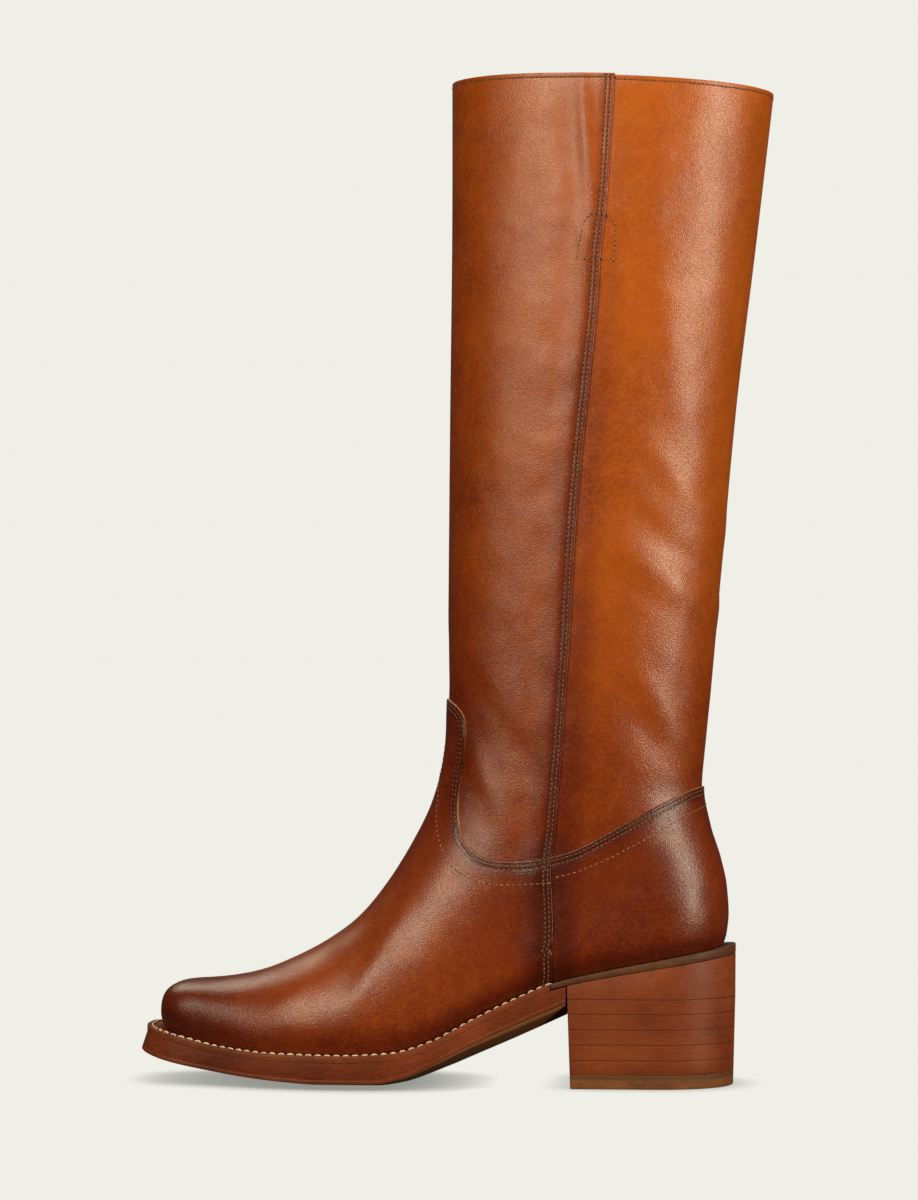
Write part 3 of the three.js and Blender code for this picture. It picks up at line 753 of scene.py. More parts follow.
def burnished_leather():
    finish, shader, node, link = new_finish("burnished_leather")
    spot = node("ShaderNodeTexCoord").outputs["Object"]
    burnish = node("ShaderNodeAttribute", attribute_name="burnish").outputs["Fac"]
    raw_and_painted_light = node("ShaderNodeAttribute", attribute_name="raw_edge").outputs["Fac"]
    cloud = noise(node, spot, 22, 3, 0.55)
    mottle = noise(node, spot, 130, 4, 0.6)
    flecks = noise(node, spot, 620, 3, 0.65)
    bent = node("ShaderNodeMix", {"A": spot, "B": mottle.outputs["Color"]}, {"Factor": 0.012},
                data_type="RGBA")
    tall = node("ShaderNodeMapping", {"Vector": bent.outputs["Result"]}, {"Scale": (0.7, 0.7, 1.5)})
    net = node("ShaderNodeTexVoronoi", {"Vector": tall.outputs[0]}, {"Scale": 330},
               feature="DISTANCE_TO_EDGE")
    hairs = node("ShaderNodeMapRange", {"Value": net.outputs["Distance"]},
                 {"From Min": 0.0, "From Max": 0.10, "To Min": -0.17, "To Max": 0.0})
    wear = node("ShaderNodeMapRange", {"Value": cloud.outputs["Fac"]},
                {"From Min": 0.42, "From Max": 0.62, "To Min": 0.25, "To Max": 1.0})
    tone = maths(node, "MULTIPLY_ADD", {0: hairs.outputs[0], 1: wear.outputs[0], 2: burnish})
    for texture, amount in ((cloud, 0.54), (mottle, 0.26), (flecks, 0.36)):
        centred = maths(node, "SUBTRACT", {0: texture.outputs["Fac"]}, {1: 0.5})
        tone = maths(node, "MULTIPLY_ADD", {0: centred, 2: tone}, {1: amount})
    colour = colour_ramp(node, tone, [
        (0.0, (168, 80, 14)), (0.3, (142, 61, 9)), (0.52, (116, 43, 6)),
        (0.75, (92, 26, 3)), (1.0, (66, 15, 2)),
    ])
    # The light colour of raw leather, made lighter still as a painted highlight where cut edges catch the
    # light.
    edge = colour_ramp(node, flecks.outputs["Fac"], [(0.3, (150, 96, 54)), (0.7, (208, 152, 96))])
    both = node("ShaderNodeMix", {"Factor": raw_and_painted_light, "A": colour, "B": edge}, data_type="RGBA")
    link(both.outputs["Result"], shader.inputs["Base Color"])

    pebbles = noise(node, spot, 1700, 1, 0.5)
    broad = noise(node, spot, 48, 1)
    pores = node("ShaderNodeTexVoronoi", {"Vector": spot}, {"Scale": 1500}, feature="F1")
    height = maths(node, "MULTIPLY_ADD", {0: pores.outputs["Distance"], 2: pebbles.outputs["Fac"]}, {1: 0.3})
    height = maths(node, "MULTIPLY_ADD", {0: broad.outputs["Fac"], 2: height}, {1: 8.0})
    emboss(node, link, shader, height, 0.6, 0.00023)
    gloss = node("ShaderNodeMapRange", {"Value": cloud.outputs["Fac"]}, {"To Min": 0.29, "To Max": 0.37})
    link(maths(node, "MULTIPLY_ADD", {0: raw_and_painted_light, 2: gloss.outputs[0]}, {1: 0.4}), shader.inputs["Roughness"])
    shader.inputs["Specular IOR Level"].default_value = 0.42
    return finish


LEATHER_FINISH = burnished_leather()
print("finish:", LEATHER_FINISH.name)

# %% Building a piece


def add_piece(name, points, faces, finish, slot, replaced=(), crease=32, **attributes):
    """A mesh from points in millimetres. Doubled points are merged and faces turned outwards."""
    mesh = bpy.data.meshes.new(name)
    mesh.from_pydata((np.asarray(points).reshape(-1, 3) * MM).tolist(), [], faces)
    for key, values in attributes.items():
        mesh.attributes.new(key, "FLOAT", "POINT").data.foreach_set("value", np.ravel(values).astype("f"))
    shape = bmesh.new()
    shape.from_mesh(mesh)
    bmesh.ops.remove_doubles(shape, verts=shape.verts, dist=2e-6)
    bmesh.ops.dissolve_degenerate(shape, edges=shape.edges, dist=1e-7)
    bmesh.ops.recalc_face_normals(shape, faces=shape.faces)
    if shape.calc_volume(signed=True) < 0:
        bmesh.ops.reverse_faces(shape, faces=shape.faces)
    open_edges = sum(1 for edge in shape.edges if len(edge.link_faces) != 2)
    shape.to_mesh(mesh)
    shape.free()
    mesh.shade_smooth()
    mesh.set_sharp_from_angle(angle=math.radians(crease))
    mesh.materials.append(finish)
    piece = add_object(name, mesh)
    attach(piece, "root")
    if replaced:
        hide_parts(*replaced)
    triangles = sum(len(face.vertices) - 2 for face in mesh.polygons)
    print(f"{name}: {triangles} triangles, {open_edges} open edges")
    return piece


def sheet_faces(rows, columns, start=0):
    index = start + np.arange(rows * columns).reshape(rows, columns)
    corners = [index[:-1, :-1], index[:-1, 1:], index[1:, 1:], index[1:, :-1]]
    return np.stack(corners, axis=-1).reshape(-1, 4).tolist()


# %% [markdown]
# ## The four panels
# Each panel is a patch between four lines on the surface, filled by blending opposite lines (a Coons
# patch). Its outside follows the lift rule, its edges are cut square with a slightly rounded corner, and its
# inside lies one leather thickness below, so that it is a closed sheet of real leather. The shaft's
# panels run on under the vamp and the counter, and the back pieces under the front ones.

# %% A panel between four lines
ROUNDED = ((0.9, 0.0), (0.45, -0.03), (0.18, -0.11), (0.04, -0.26), (0.0, -0.45), (0.0, -LEATHER))
HIDDEN = ((0.0, 0.0), (0.0, -LEATHER))
# How much raw colour a cut edge shows. It is full near the top edges of vamp and counter, a painted highlight
# where they catch the light, and a third on the seams and the rim, painted shade.
RAW = {"drop": -0.3, "near_edge": 2.5, "elsewhere": 0.3}
GROOVE = ((0.6, 0.0), (0.3, -0.08), (0.0, -0.13), (-0.3, -0.08), (-0.6, 0.0))


def sewn(*rows, reach=7.0):
    """A cut edge with a groove pressed under each row of stitches beside it."""
    grooves = [(row + shift, drop) for row in sorted(rows, reverse=True) for shift, drop in GROOVE]
    return ((reach, 0.0), *grooves, *ROUNDED)


def stations(count, start, end):
    """Places across a panel: a share of its width, a distance from its end in mm, and a drop."""
    deep, far = start[0][0], end[0][0]
    shares = np.linspace(0, 1, count)[1:-1]
    inner = [(share, mix(deep, -far, share), 0.0) for share in shares]
    first = [(0.0, depth, drop) for depth, drop in reversed(start)]
    last = [(1.0, -depth, drop) for depth, drop in end]
    return np.array(first + inner + last)


def blended(low, high, left, right):
    """The Coons patch of four lines of places, each given as an array from its start to its end."""
    def along(uv, t):
        at = t * (len(uv) - 1)
        return np.stack([np.interp(at, np.arange(len(uv)), uv[:, k]) for k in range(2)], axis=-1)

    def patch(w, b):
        w, b = np.broadcast_arrays(w, b)
        sideways, up = w[..., None], b[..., None]
        ruled = (1 - up) * along(low, w) + up * along(high, w)
        ruled = ruled + (1 - sideways) * along(left, b) + sideways * along(right, b)
        ends = (1 - up) * ((1 - sideways) * low[0] + sideways * low[-1])
        return ruled - ends - up * ((1 - sideways) * high[0] + sideways * high[-1])

    return patch


def panel(name, lines, counts, edges, front, low, shade):
    """lines and edges: lower, upper, left and right. counts: across and up."""
    patch = blended(*[even(uv, 200) for uv in lines])
    w, b = stations(counts[0], edges[2], edges[3]), stations(counts[1], edges[0], edges[1])
    share = np.linspace(0, 1, 33)
    trial = patch(share[None, :], share[:, None])
    points = skin.at(trial[..., 0], trial[..., 1])
    wide = np.linalg.norm(np.diff(points, axis=1), axis=2).sum(axis=1)
    tall = np.linalg.norm(np.diff(points, axis=0), axis=2).sum(axis=0)
    width = np.interp(b[:, 0], share, wide)[:, None]
    height = np.interp(w[:, 0], share, tall)[None, :]
    around = w[None, :, 0] + w[None, :, 1] / width
    upward = b[:, None, 0] + b[:, None, 1] / height
    uv = patch(around, upward)
    u, v = uv[..., 0], uv[..., 1]
    drop = np.minimum(w[None, :, 2], b[:, None, 2])
    lift = lift_of(u, v, front, low)
    outside = skin.lifted(u, v, lift + drop)
    inside = skin.lifted(u, v, lift - LEATHER)
    faces = sheet_faces(*u.shape) + [f[::-1] for f in sheet_faces(*u.shape, start=u.size)]
    to_seam, to_edge = seam_distance(u, v), edge_distance(u, v)
    # Full raw colour near the top edges of vamp and counter is painted light. Less on the seams and the rim is
    # painted shade.
    raw_share_by_light = np.where(np.abs(to_edge) < RAW["near_edge"], 1.0, RAW["elsewhere"])
    raw_and_painted_light = np.where(drop < RAW["drop"], raw_share_by_light, 0.0)
    tone = shade(outside, to_seam, to_edge, u, v)
    both = lambda values: np.stack([values, values])
    return add_piece(
        name, np.stack([outside, inside]), faces, LEATHER_FINISH, "upper",
        ("upper",) if name == "vamp" else (), burnish=both(tone), raw_edge=both(raw_and_painted_light),
    )


# %% How dark each place is


def shade_of(base, foot=0.0):
    """Darker at the toe, seams and feather line, and along the shin, with painted shade lower down the shaft
    and at the waist of the vamp. foot: more towards the ankle.
    """
    def shade(points, to_seam, to_edge, u, v):
        x, z = points[..., 0], points[..., 2]
        # Darker lower down the shaft: painted shade for the light that falls off towards the foot. foot
        # darkens it further towards the ankle.
        base_and_painted_shade = base + 0.20 * ease(z, 440, 120) + foot * ease(z, 250, 130)
        shin_side = near(np.abs((u + 1) % 2 - 1) * 150, 6, 48)
        tone = base_and_painted_shade + 0.20 * near(np.abs(to_seam), 4, 15) * ease(z, 430, 300)
        tone = tone + 0.10 * near(np.abs(to_edge), 3, 14)
        beside_seam = near(to_seam, 3.8, 5.2) * (to_seam > 0)
        sewn_band = np.maximum(beside_seam, near(-to_edge, 3.8, 5.2) * (to_edge < 0))
        tone = tone + 0.20 * sewn_band
        tone = tone + 0.20 * near(to_seam, 3, 24) * ease(z, 125, 85) * (to_seam > 0)
        # Darker at the waist of the vamp, where it tucks in and faces down: painted shade.
        tone = tone + 0.12 * ease(x, 20, -30) * ease(z, 110, 70) * (to_seam > 0)
        tone = tone + 0.22 * shin_side * ease(z, 60, 130)
        return tone + 0.28 * ease(x, 78, 124) + 0.20 * near(v * 7, 4, 18)
    return shade


def part_of(uv, low, high):
    """The part of a rising line between two heights."""
    keep = (uv[:, 1] > low) & (uv[:, 1] < high)
    ends = [(np.interp(t, uv[:, 1], uv[:, 0]), t) for t in (low, high)]
    return np.vstack([ends[0], uv[keep], ends[1]])


def level(u_start, u_end, v, count=60):
    """A line round the boot at one height."""
    u = np.linspace(u_start, u_end, count)
    return np.stack([u, np.full(count, v)], axis=1)


# %% Where pieces run on under others
UNDER = 9.4  # the row where the shaft's panels start, under vamp and counter
UNDERLAP = 6.0
turned = np.array([2.0, 0.0])
under_seam = {1: beside(seams[1], UNDERLAP), -1: beside(seams[-1], -UNDERLAP)}
print("under-laps in place")

# %% Vamp and counter
SEAM_ROWS = (1.6, 3.5)
RIM_ROW = 2.0
SEWN_TWICE, SEWN_ONCE = sewn(*SEAM_ROWS), sewn(RIM_ROW)
FEATHER = 0.0
vamp_sides = {side: part_of(seams[side], FEATHER, junction[side][1]) for side in SIDES}
panel(
    "vamp",
    [level(vamp_sides[-1][0, 0], vamp_sides[1][0, 0], FEATHER),
     np.vstack([vamp_lines[-1][::-1], vamp_lines[1][1:]]), vamp_sides[-1], vamp_sides[1]],
    (220, 84), (HIDDEN, SEWN_TWICE, SEWN_TWICE, SEWN_TWICE), front=1, low=True, shade=shade_of(0.30),
)
counter_top = np.vstack([counter_lines[1], (counter_lines[-1] + turned)[::-1][1:]])
lap = [part_of(under_seam[side], FEATHER, junction[side][1]) for side in SIDES]
lap[1] = lap[1] + turned
counter_top = np.vstack([lap[0][-1], counter_top[2:-2], lap[1][-1]])
panel(
    "counter", [level(lap[0][0, 0], lap[1][0, 0], FEATHER), counter_top, *lap],
    (150, 56), (HIDDEN, SEWN_TWICE, HIDDEN, HIDDEN), front=0, low=True, shade=shade_of(0.50),
)

# %% Shaft
front_top, back_top = TOP + 0.010, TOP
shaft_sides = {side: part_of(seams[side], UNDER, front_top) for side in SIDES}
panel(
    "shaft_front",
    [level(shaft_sides[-1][0, 0], shaft_sides[1][0, 0], UNDER),
     level(shaft_sides[-1][-1, 0], shaft_sides[1][-1, 0], front_top), shaft_sides[-1], shaft_sides[1]],
    (124, 210), (HIDDEN, SEWN_ONCE, SEWN_TWICE, SEWN_TWICE), front=1, low=False, shade=shade_of(0.24, 0.05),
)
lap = [part_of(under_seam[side], UNDER, back_top) for side in SIDES]
lap[1] = lap[1] + turned
panel(
    "shaft_back",
    [level(lap[0][0, 0], lap[1][0, 0], UNDER), level(lap[0][-1, 0], lap[1][-1, 0], back_top), *lap],
    (124, 210), (HIDDEN, SEWN_ONCE, HIDDEN, HIDDEN), front=0, low=False, shade=shade_of(0.13, 0.19),
)

# %% [markdown]
# ## Lining
# The inside is lined with thin natural leather. It is one closed shell just inside the panels, from the
# feather line to a little below the rim, and it is what shows when one looks down into the shaft.

# %% Natural leather


def natural_leather(name, light, dark):
    finish, shader, node, link = new_finish(name)
    spot = node("ShaderNodeTexCoord").outputs["Object"]
    cloud = noise(node, spot, 60, 5, 0.6)
    grain = noise(node, spot, 900, 4, 0.7)
    link(colour_ramp(node, cloud.outputs["Fac"], [(0.3, dark), (0.7, light)]), shader.inputs["Base Color"])
    emboss(node, link, shader, grain.outputs["Fac"], 0.3, 0.0004)
    shader.inputs["Roughness"].default_value = 0.72
    shader.inputs["Specular IOR Level"].default_value = 0.3
    return finish


LINING_FINISH = natural_leather("lining_leather", (206, 168, 122), (182, 140, 94))
LINING = {"outside": -1.62, "inside": -WALL, "drop": 0.012}
lining_v = np.linspace(0, TOP - LINING["drop"], 200)
lining_u, lining_v = np.meshgrid(np.linspace(-1, 1, 181), lining_v)
shell = [
    skin.lifted(lining_u, lining_v, np.full(lining_u.shape, LINING[key])) for key in ("outside", "inside")
]
count = lining_u.size
rows, columns = lining_u.shape
lining_faces = sheet_faces(rows, columns) + [f[::-1] for f in sheet_faces(rows, columns, start=count)]
for row in (0, rows - 1):
    first = row * columns + np.arange(columns - 1)
    lining_faces += np.stack([first, first + 1, first + 1 + count, first + count], axis=1).tolist()
add_piece("lining", shell, lining_faces, LINING_FINISH, "lining")

# %% [markdown]
# ## Sole and heel
# Everything under the boot follows one line, the feather line, where the upper meets the sole. Each layer is
# that line moved outwards by a margin, with its own thickness and its own worked edge. A layer is built
# from sections across the boot: down one edge, over the underside, up the other edge and back over the top.

# %% Lines of a layer
WELT = {"thick": 3.0, "inset": 12.0, "end": -43.0}
HEEL = {"front": -50.2, "lean": 1.5, "taper": 1.3}
LIFT_THICK = 6.3
INSOLE_THICK = 3.0
TOE_EDGE = {"from": 95, "full": 128, "reach": 2.6}
seat_thickness = column(table("x thick", (-40, 2.4), (-128, 4.3)), "thick")
FINE = 520


def offset_line(distance, side):
    """The feather line of one side, from the toe to the heel, moved outwards in plan."""
    u = side * np.linspace(0, 1, FINE + 1)
    p = smooth_skin.at(u, 0.0)[:, :2]
    way = smooth_skin.at(u + 0.002, 0.0)[:, :2] - smooth_skin.at(u - 0.002, 0.0)[:, :2]
    way /= np.linalg.norm(way, axis=1, keepdims=True)
    out = np.stack([way[:, 1], -way[:, 0]], axis=1)
    return p + out * np.broadcast_to(distance(p[:, 0]), len(p))[:, None]


def margin_line(inset, side):
    """The edge of the sole, moved inwards by an inset."""
    return offset_line(lambda x: plan["margin"](x) - inset, side)


def cut_at(points, x, keep, count):
    """The part of a line in front of or behind a plane across the boot, evenly spaced."""
    cut = int(np.argmax(points[:, 0] < x))
    t = (x - points[cut - 1, 0]) / (points[cut, 0] - points[cut - 1, 0])
    wall = mix(points[cut - 1], points[cut], t)
    part = np.vstack([points[:cut], wall]) if keep == "front" else np.vstack([wall, points[cut:]])
    return walked(part, chain_length(part), count)


def ring_faces(rings, around):
    """Quads between rings of vertices, each ring closed on itself."""
    index = np.arange(rings * around).reshape(rings, around)
    following = np.roll(index, -1, axis=1)
    quads = np.stack([index[:-1], following[:-1], following[1:], index[1:]], axis=-1)
    return index, quads.reshape(-1, 4).tolist()


print("the heel's front stands", round(float(seat(HEEL["front"])), 1), "mm high under the boot")

# %% Sections across the boot


def layer(name, edge, top, bottom, finish, slot, replaced=(), shares=9, lean=None):
    """edge: from its top to its foot, (outline of a side, height) for each station.
    top and bottom: heights from x and the share of the half width."""
    steps = []
    for outline, height in edge:
        sides = [outline(side) for side in SIDES]
        steps.append([np.column_stack([plan_line, height(plan_line[:, 0])]) for plan_line in sides])
    inner_shares = np.linspace(1, -1, shares + 2)[1:-1]

    def inside(lines, height, share):
        p = mix(lines[1], lines[0], (share + 1) / 2)
        p[:, 2] = height(p[:, 0], share)
        return p

    path = [lines[0] for lines in steps]
    path += [inside(steps[-1], bottom, share) for share in inner_shares]
    path += [lines[1] for lines in reversed(steps)]
    path += [inside(steps[0], top, share) for share in inner_shares[::-1]]
    points = np.stack(path, axis=1)
    head, foot = (steps[k][0][:, 2][:, None] for k in (0, -1))
    below_top, above_foot = head - points[..., 2], points[..., 2] - foot
    if lean:
        points[..., 0] += lean(points[..., 0]) * np.clip(below_top / (head - foot), 0, 1)
    index, quads = ring_faces(*points.shape[:2])
    ends = [ring.tolist() for ring in (index[0], index[-1]) if np.ptp(points.reshape(-1, 3)[ring, 1]) > 1]
    worked = np.zeros(points.shape[:2])
    worked[:, : len(edge)] = worked[:, len(edge) + shares : 2 * len(edge) + shares] = 1
    return add_piece(name, points, quads + ends, finish, slot, replaced, above_foot=above_foot,
                     below_top=below_top, worked_edge=worked)


# %% Cut and burnished edges


def worked_leather(name, stops, grain, streak, rough, lines=(), under=()):
    """Leather edges: fine layers along the boot under a coat of wax. lines: (attribute, place, width,
    colour) of thin dark lines, where the attribute is a height in millimetres."""
    finish, shader, node, link = new_finish(name)
    spot = node("ShaderNodeTexCoord").outputs["Object"]
    flat = node("ShaderNodeMapping", {"Vector": spot}, {"Scale": (1, 1, streak)})
    plies = noise(node, flat.outputs[0], grain, 5, 0.65)
    cloud = noise(node, spot, 45, 3)
    tone = maths(node, "ADD", {0: cloud.outputs["Fac"], 1: plies.outputs["Fac"]})
    colour = colour_ramp(node, maths(node, "MULTIPLY", {0: tone}, {1: 0.5}), stops)
    for attribute, at, wide, shade in lines:
        height = node("ShaderNodeAttribute", attribute_name=attribute).outputs["Fac"]
        away = maths(node, "ABSOLUTE", {0: maths(node, "SUBTRACT", {0: height}, {1: at})})
        mask = node("ShaderNodeMapRange", {"Value": away},
                    {"From Min": wide * 0.3, "From Max": wide, "To Min": 1.0, "To Max": 0.0})
        mixed = node("ShaderNodeMix", {"Factor": mask.outputs[0], "A": colour}, {"B": srgb(*shade)},
                     data_type="RGBA")
        colour = mixed.outputs["Result"]
    if under:
        worked = node("ShaderNodeAttribute", attribute_name="worked_edge").outputs["Fac"]
        inwards = maths(node, "SUBTRACT", {1: worked}, {0: 1.0})
        shift = maths(node, "MULTIPLY_ADD", {0: cloud.outputs["Fac"], 2: inwards}, {1: 0.25})
        below = colour_ramp(node, shift, under)
        mask = node("ShaderNodeMapRange", {"Value": inwards}, {"From Min": 0.04, "From Max": 0.10})
        mixed = node("ShaderNodeMix", {"Factor": mask.outputs[0], "A": colour, "B": below}, data_type="RGBA")
        colour = mixed.outputs["Result"]
    link(colour, shader.inputs["Base Color"])
    emboss(node, link, shader, plies.outputs["Fac"], 0.35, 0.0003)
    shader.inputs["Roughness"].default_value = rough
    shader.inputs["Specular IOR Level"].default_value = 0.22
    return finish


LAYER_LINES = (12.6, 19.4, 26.1, 32.9, 39.4)  # heights in mm where the heel's layers meet
WELT_FINISH = worked_leather(
    "welt_leather", [(0.35, (90, 36, 16)), (0.5, (110, 48, 22)), (0.65, (128, 60, 30))], 240, 5, 0.5
)
SOLE_FINISH = worked_leather(
    "sole_leather", [(0.35, (86, 31, 12)), (0.5, (106, 43, 18)), (0.65, (122, 54, 25))], 240, 5, 0.48,
    under=[(0.2, (196, 134, 84)), (0.75, (170, 108, 64)), (1.0, (128, 74, 42)), (1.2, (110, 62, 36))],
)
SEAT_FINISH = worked_leather(
    "seat_leather", [(0.35, (66, 36, 20)), (0.5, (82, 46, 26)), (0.65, (98, 57, 33))], 260, 4, 0.55
)
STACK_FINISH = worked_leather(
    "stacked_leather",
    [(0.3, (80, 30, 10)), (0.46, (110, 46, 19)), (0.58, (124, 56, 24)), (0.72, (142, 76, 38))], 150, 26, 0.5,
    lines=[("above_foot", z - LIFT_THICK, 0.32, (78, 32, 12)) for z in LAYER_LINES],
)
LIFT_FINISH = worked_leather(
    "lift_rubber", [(0.35, (92, 50, 26)), (0.5, (112, 62, 32)), (0.65, (128, 76, 40))], 200, 3, 0.7,
    lines=[("above_foot", 5.2, 1.6, (84, 52, 28))],
)
INSOLE_FINISH = natural_leather("insole_leather", (196, 152, 104), (168, 122, 78))

# %% Welt
WELT_TOP = ((12.0, 0.0), (6.0, 0.0), (3.4, 0.0), (2.4, -0.1), (1.6, 0.0), (0.9, 0.0), (0.35, -0.05),
            (0.1, -0.18), (0.0, -0.45), (0.0, -1.5))
WELT_FOOT = ((0.0, 0.3), (0.02, 0.08), (0.15, 0.0), (12.0, 0.0))


def round_the_toe(inset, end, count):
    """A line along the edge of the sole, from the outer side round the toe to the inner side."""
    halves = [cut_at(margin_line(inset, side), end, "front", count) for side in SIDES]
    return np.vstack([halves[0][::-1], halves[1][1:]])


def welt_strip(count=430):
    drops = [*WELT_TOP, *[(inset, up - WELT["thick"]) for inset, up in WELT_FOOT]]
    sections = []
    for inset, drop in drops:
        walk = round_the_toe(inset, WELT["end"], count)
        sections.append(np.column_stack([walk, seat(walk[:, 0]) + drop]))
    points = np.stack(sections, axis=1)
    index, quads = ring_faces(*points.shape[:2])
    below = seat(points[..., 0]) - points[..., 2]
    return add_piece("welt_strip", points, quads + [index[0].tolist(), index[-1].tolist()], WELT_FINISH,
                     "welt", ("welt",), below_top=below)


welt_strip()

# %% Outsole
FOOT_LAYER = 1.9


def sole_station(inset, height):
    return lambda side: cut_at(margin_line(inset, side), HEEL["front"] + GAP, "front", 320), height


def sole_top(x, share=0):
    return seat(x) - WELT["thick"] - 0.05


def sole_foot(up):
    return lambda x: underside(x) + rise(x) + up


def sole_bottom(x, share):
    edge = np.maximum(0, (abs(share) - rise_from(x)) / (1 - rise_from(x)))
    return underside(x) + rise(x) * edge**1.4


sole_edge = [sole_station(inset, lambda x, drop=drop: sole_top(x) - drop)
             for inset, drop in ((0.9, 0), (0.12, 0.0), (0.02, 0.06), (0.0, 0.3))]
sole_edge += [sole_station(inset, sole_foot(up)) for inset, up in (
    (0.0, FOOT_LAYER + 0.2), (0.05, FOOT_LAYER + 0.06), (0.09, FOOT_LAYER), (0.05, FOOT_LAYER - 0.06),
    (0.0, FOOT_LAYER - 0.2), (0.0, 0.5), (0.1, 0.16), (0.35, 0.0))]
layer(
    "leather_sole", sole_edge, sole_top, sole_bottom, SOLE_FINISH, "outsole", ("outsole",), shares=21,
    lean=lambda x: TOE_EDGE["reach"] * ease(x, TOE_EDGE["from"], TOE_EDGE["full"]),
)

# %% Heel seat and insole


def seat_station(inset, height):
    return lambda side: cut_at(margin_line(inset, side), WELT["end"] - GAP, "back", 240), height


seat_edge = [seat_station(inset, lambda x, drop=drop: seat(x) - drop)
             for inset, drop in ((1.2, 0), (0.5, 0.05), (0.14, 0.2), (0.0, 0.55))]
seat_edge += [seat_station(inset, lambda x, up=up: seat(x) - seat_thickness(x) + up)
              for inset, up in ((0.0, 0.5), (0.12, 0.15), (0.4, 0.0))]
layer(
    "heel_seat_leather", seat_edge, lambda x, share: seat(x),
    lambda x, share: seat(x) - seat_thickness(x), SEAT_FINISH, "heel_seat", ("heel_seat",),
)
insole_edge = [(lambda side, inset=inset: offset_line(lambda x: -WALL - 2 * GAP - inset, side),
                lambda x, up=up: seat(x) + GAP + up)
               for inset, up in ((0.6, INSOLE_THICK), (0.0, INSOLE_THICK - 0.5), (0.0, 0.4), (0.4, 0.0))]
layer(
    "sock_insole", insole_edge, lambda x, share: seat(x) + GAP + INSOLE_THICK,
    lambda x, share: seat(x) + GAP, INSOLE_FINISH, "insole", ("insole",),
)

# %% Stacked heel and top lift
TEETH = {"pitch": 1.8, "high": 0.22}


def heel_ring(inset, height):
    """The heel's outline: it narrows a little towards the floor, and its breast leans back."""
    share = 1 - height / float(seat(HEEL["front"]))
    breast = HEEL["front"] - HEEL["lean"] * share - inset
    sides = [cut_at(margin_line(inset + HEEL["taper"] * share, side), breast, "back", 300) for side in SIDES]
    front = np.linspace(sides[1][0], sides[0][0], 170)[1:-1]
    ring = np.vstack([sides[0], sides[1][::-1][1:], front])
    for _ in range(4):
        ring = (np.roll(ring, 1, axis=0) + 2 * ring + np.roll(ring, -1, axis=0)) / 4
    return ring


def heel_block(name, levels, finish, slot, replaced):
    """levels: from the top, (inset, height at the breast, height function or None where it is level)."""
    rings = []
    for inset, z, height in levels:
        ring = heel_ring(inset, z)
        rings.append(np.column_stack([ring, height(ring) if height else np.full(len(ring), z)]))
    points = np.array(rings)
    index, quads = ring_faces(*points.shape[:2])
    middles = points[[0, -1]].mean(axis=1)
    count = points.shape[0] * points.shape[1]
    fans = [[a, b, count] for a, b in zip(index[0], np.roll(index[0], -1))]
    fans += [[b, a, count + 1] for a, b in zip(index[-1], np.roll(index[-1], -1))]
    cloud = np.vstack([points.reshape(-1, 3), middles])
    above = cloud[:, 2] - cloud[:, 2].min()
    return add_piece(name, cloud, quads + [[int(k) for k in fan] for fan in fans], finish, slot, replaced,
                     above_foot=above)


def under_seat(drop):
    return lambda ring: seat(ring[:, 0]) - seat_thickness(ring[:, 0]) - 0.1 - drop


# Each line between two layers is a fine groove: (inset, distance above its middle).
LAYER_GROOVE = ((0, 0.7), (0, 0.16), (0.03, 0.04), (0.03, -0.04), (0, -0.16), (0, -0.7))
breast_top = float(seat(HEEL["front"]) - seat_thickness(HEEL["front"]))
TOP_CORNER = ((0.5, 0), (0.12, 0.12), (0.0, 0.4))
levels = [(inset, breast_top - drop, under_seat(drop)) for inset, drop in TOP_CORNER]
for line_z in reversed(LAYER_LINES):
    levels += [(inset, line_z + above, None) for inset, above in LAYER_GROOVE]
foot_z = LIFT_THICK + 0.05
levels += [(0.0, foot_z + 0.35, None), (0.1, foot_z + 0.1, None), (0.3, foot_z, None)]
heel_block("stacked_heel", levels, STACK_FINISH, "heel_stack", ("heel_stack",))


def toothed(height):
    """The foot of the lift is milled into fine teeth."""
    def rule(ring):
        wave = 0.5 - 0.5 * np.cos(2 * math.pi * chain_length(ring) / TEETH["pitch"])
        return height + TEETH["high"] * wave * ease(ring[:, 0], -118, -106)
    return rule


lift_levels = [(0.3, LIFT_THICK, None), (0.08, LIFT_THICK - 0.1, None), (0, LIFT_THICK - 0.35, None),
               (0, 3.6, None), (0, 1.2, None), (0, 0.45, toothed(0.45)), (0.1, 0.12, toothed(0.12)),
               (0.4, 0.0, toothed(0.0)), (1.6, 0.0, None), (12.0, 0.0, None)]
heel_block("rubber_lift", lift_levels, LIFT_FINISH, "top_lift", ("top_lift",))

# %% [markdown]
# ## Pull straps
# Two leather loops are sewn inside the rim, one on each side, to pull the boot on. The D of stitches that
# shows outside holds their feet. Each is one strip that goes up the wall, turns over, and comes down again.

# %% Straps
STRAP = {"x": -60.7, "bottom": 362, "top": 432, "width": 20, "thick": 1.6, "fold": 2.4, "off": 1.7}
STRAP_EDGE = ((0.0, 0.35), (0.12, 0.1), (0.4, 0.0), (2.0, -0.05), (3.0, 0.0))


def strap_path():
    """Height and distance from the lining along the middle of the strip."""
    straight = STRAP["top"] - STRAP["fold"]
    path = [(z, 0.0) for z in np.linspace(STRAP["bottom"], straight, 40)]
    for turn in np.linspace(0, math.pi, 17)[1:-1]:
        path.append((straight + STRAP["fold"] * math.sin(turn), STRAP["fold"] * (1 - math.cos(turn))))
    for t in np.linspace(0, 1, 40):
        gap = mix(2 * STRAP["fold"], 2 * STRAP["thick"] + GAP, ease(t, 0.2, 0.8))
        path.append((mix(straight, STRAP["bottom"] + 1, t), gap))
    return np.array(path)


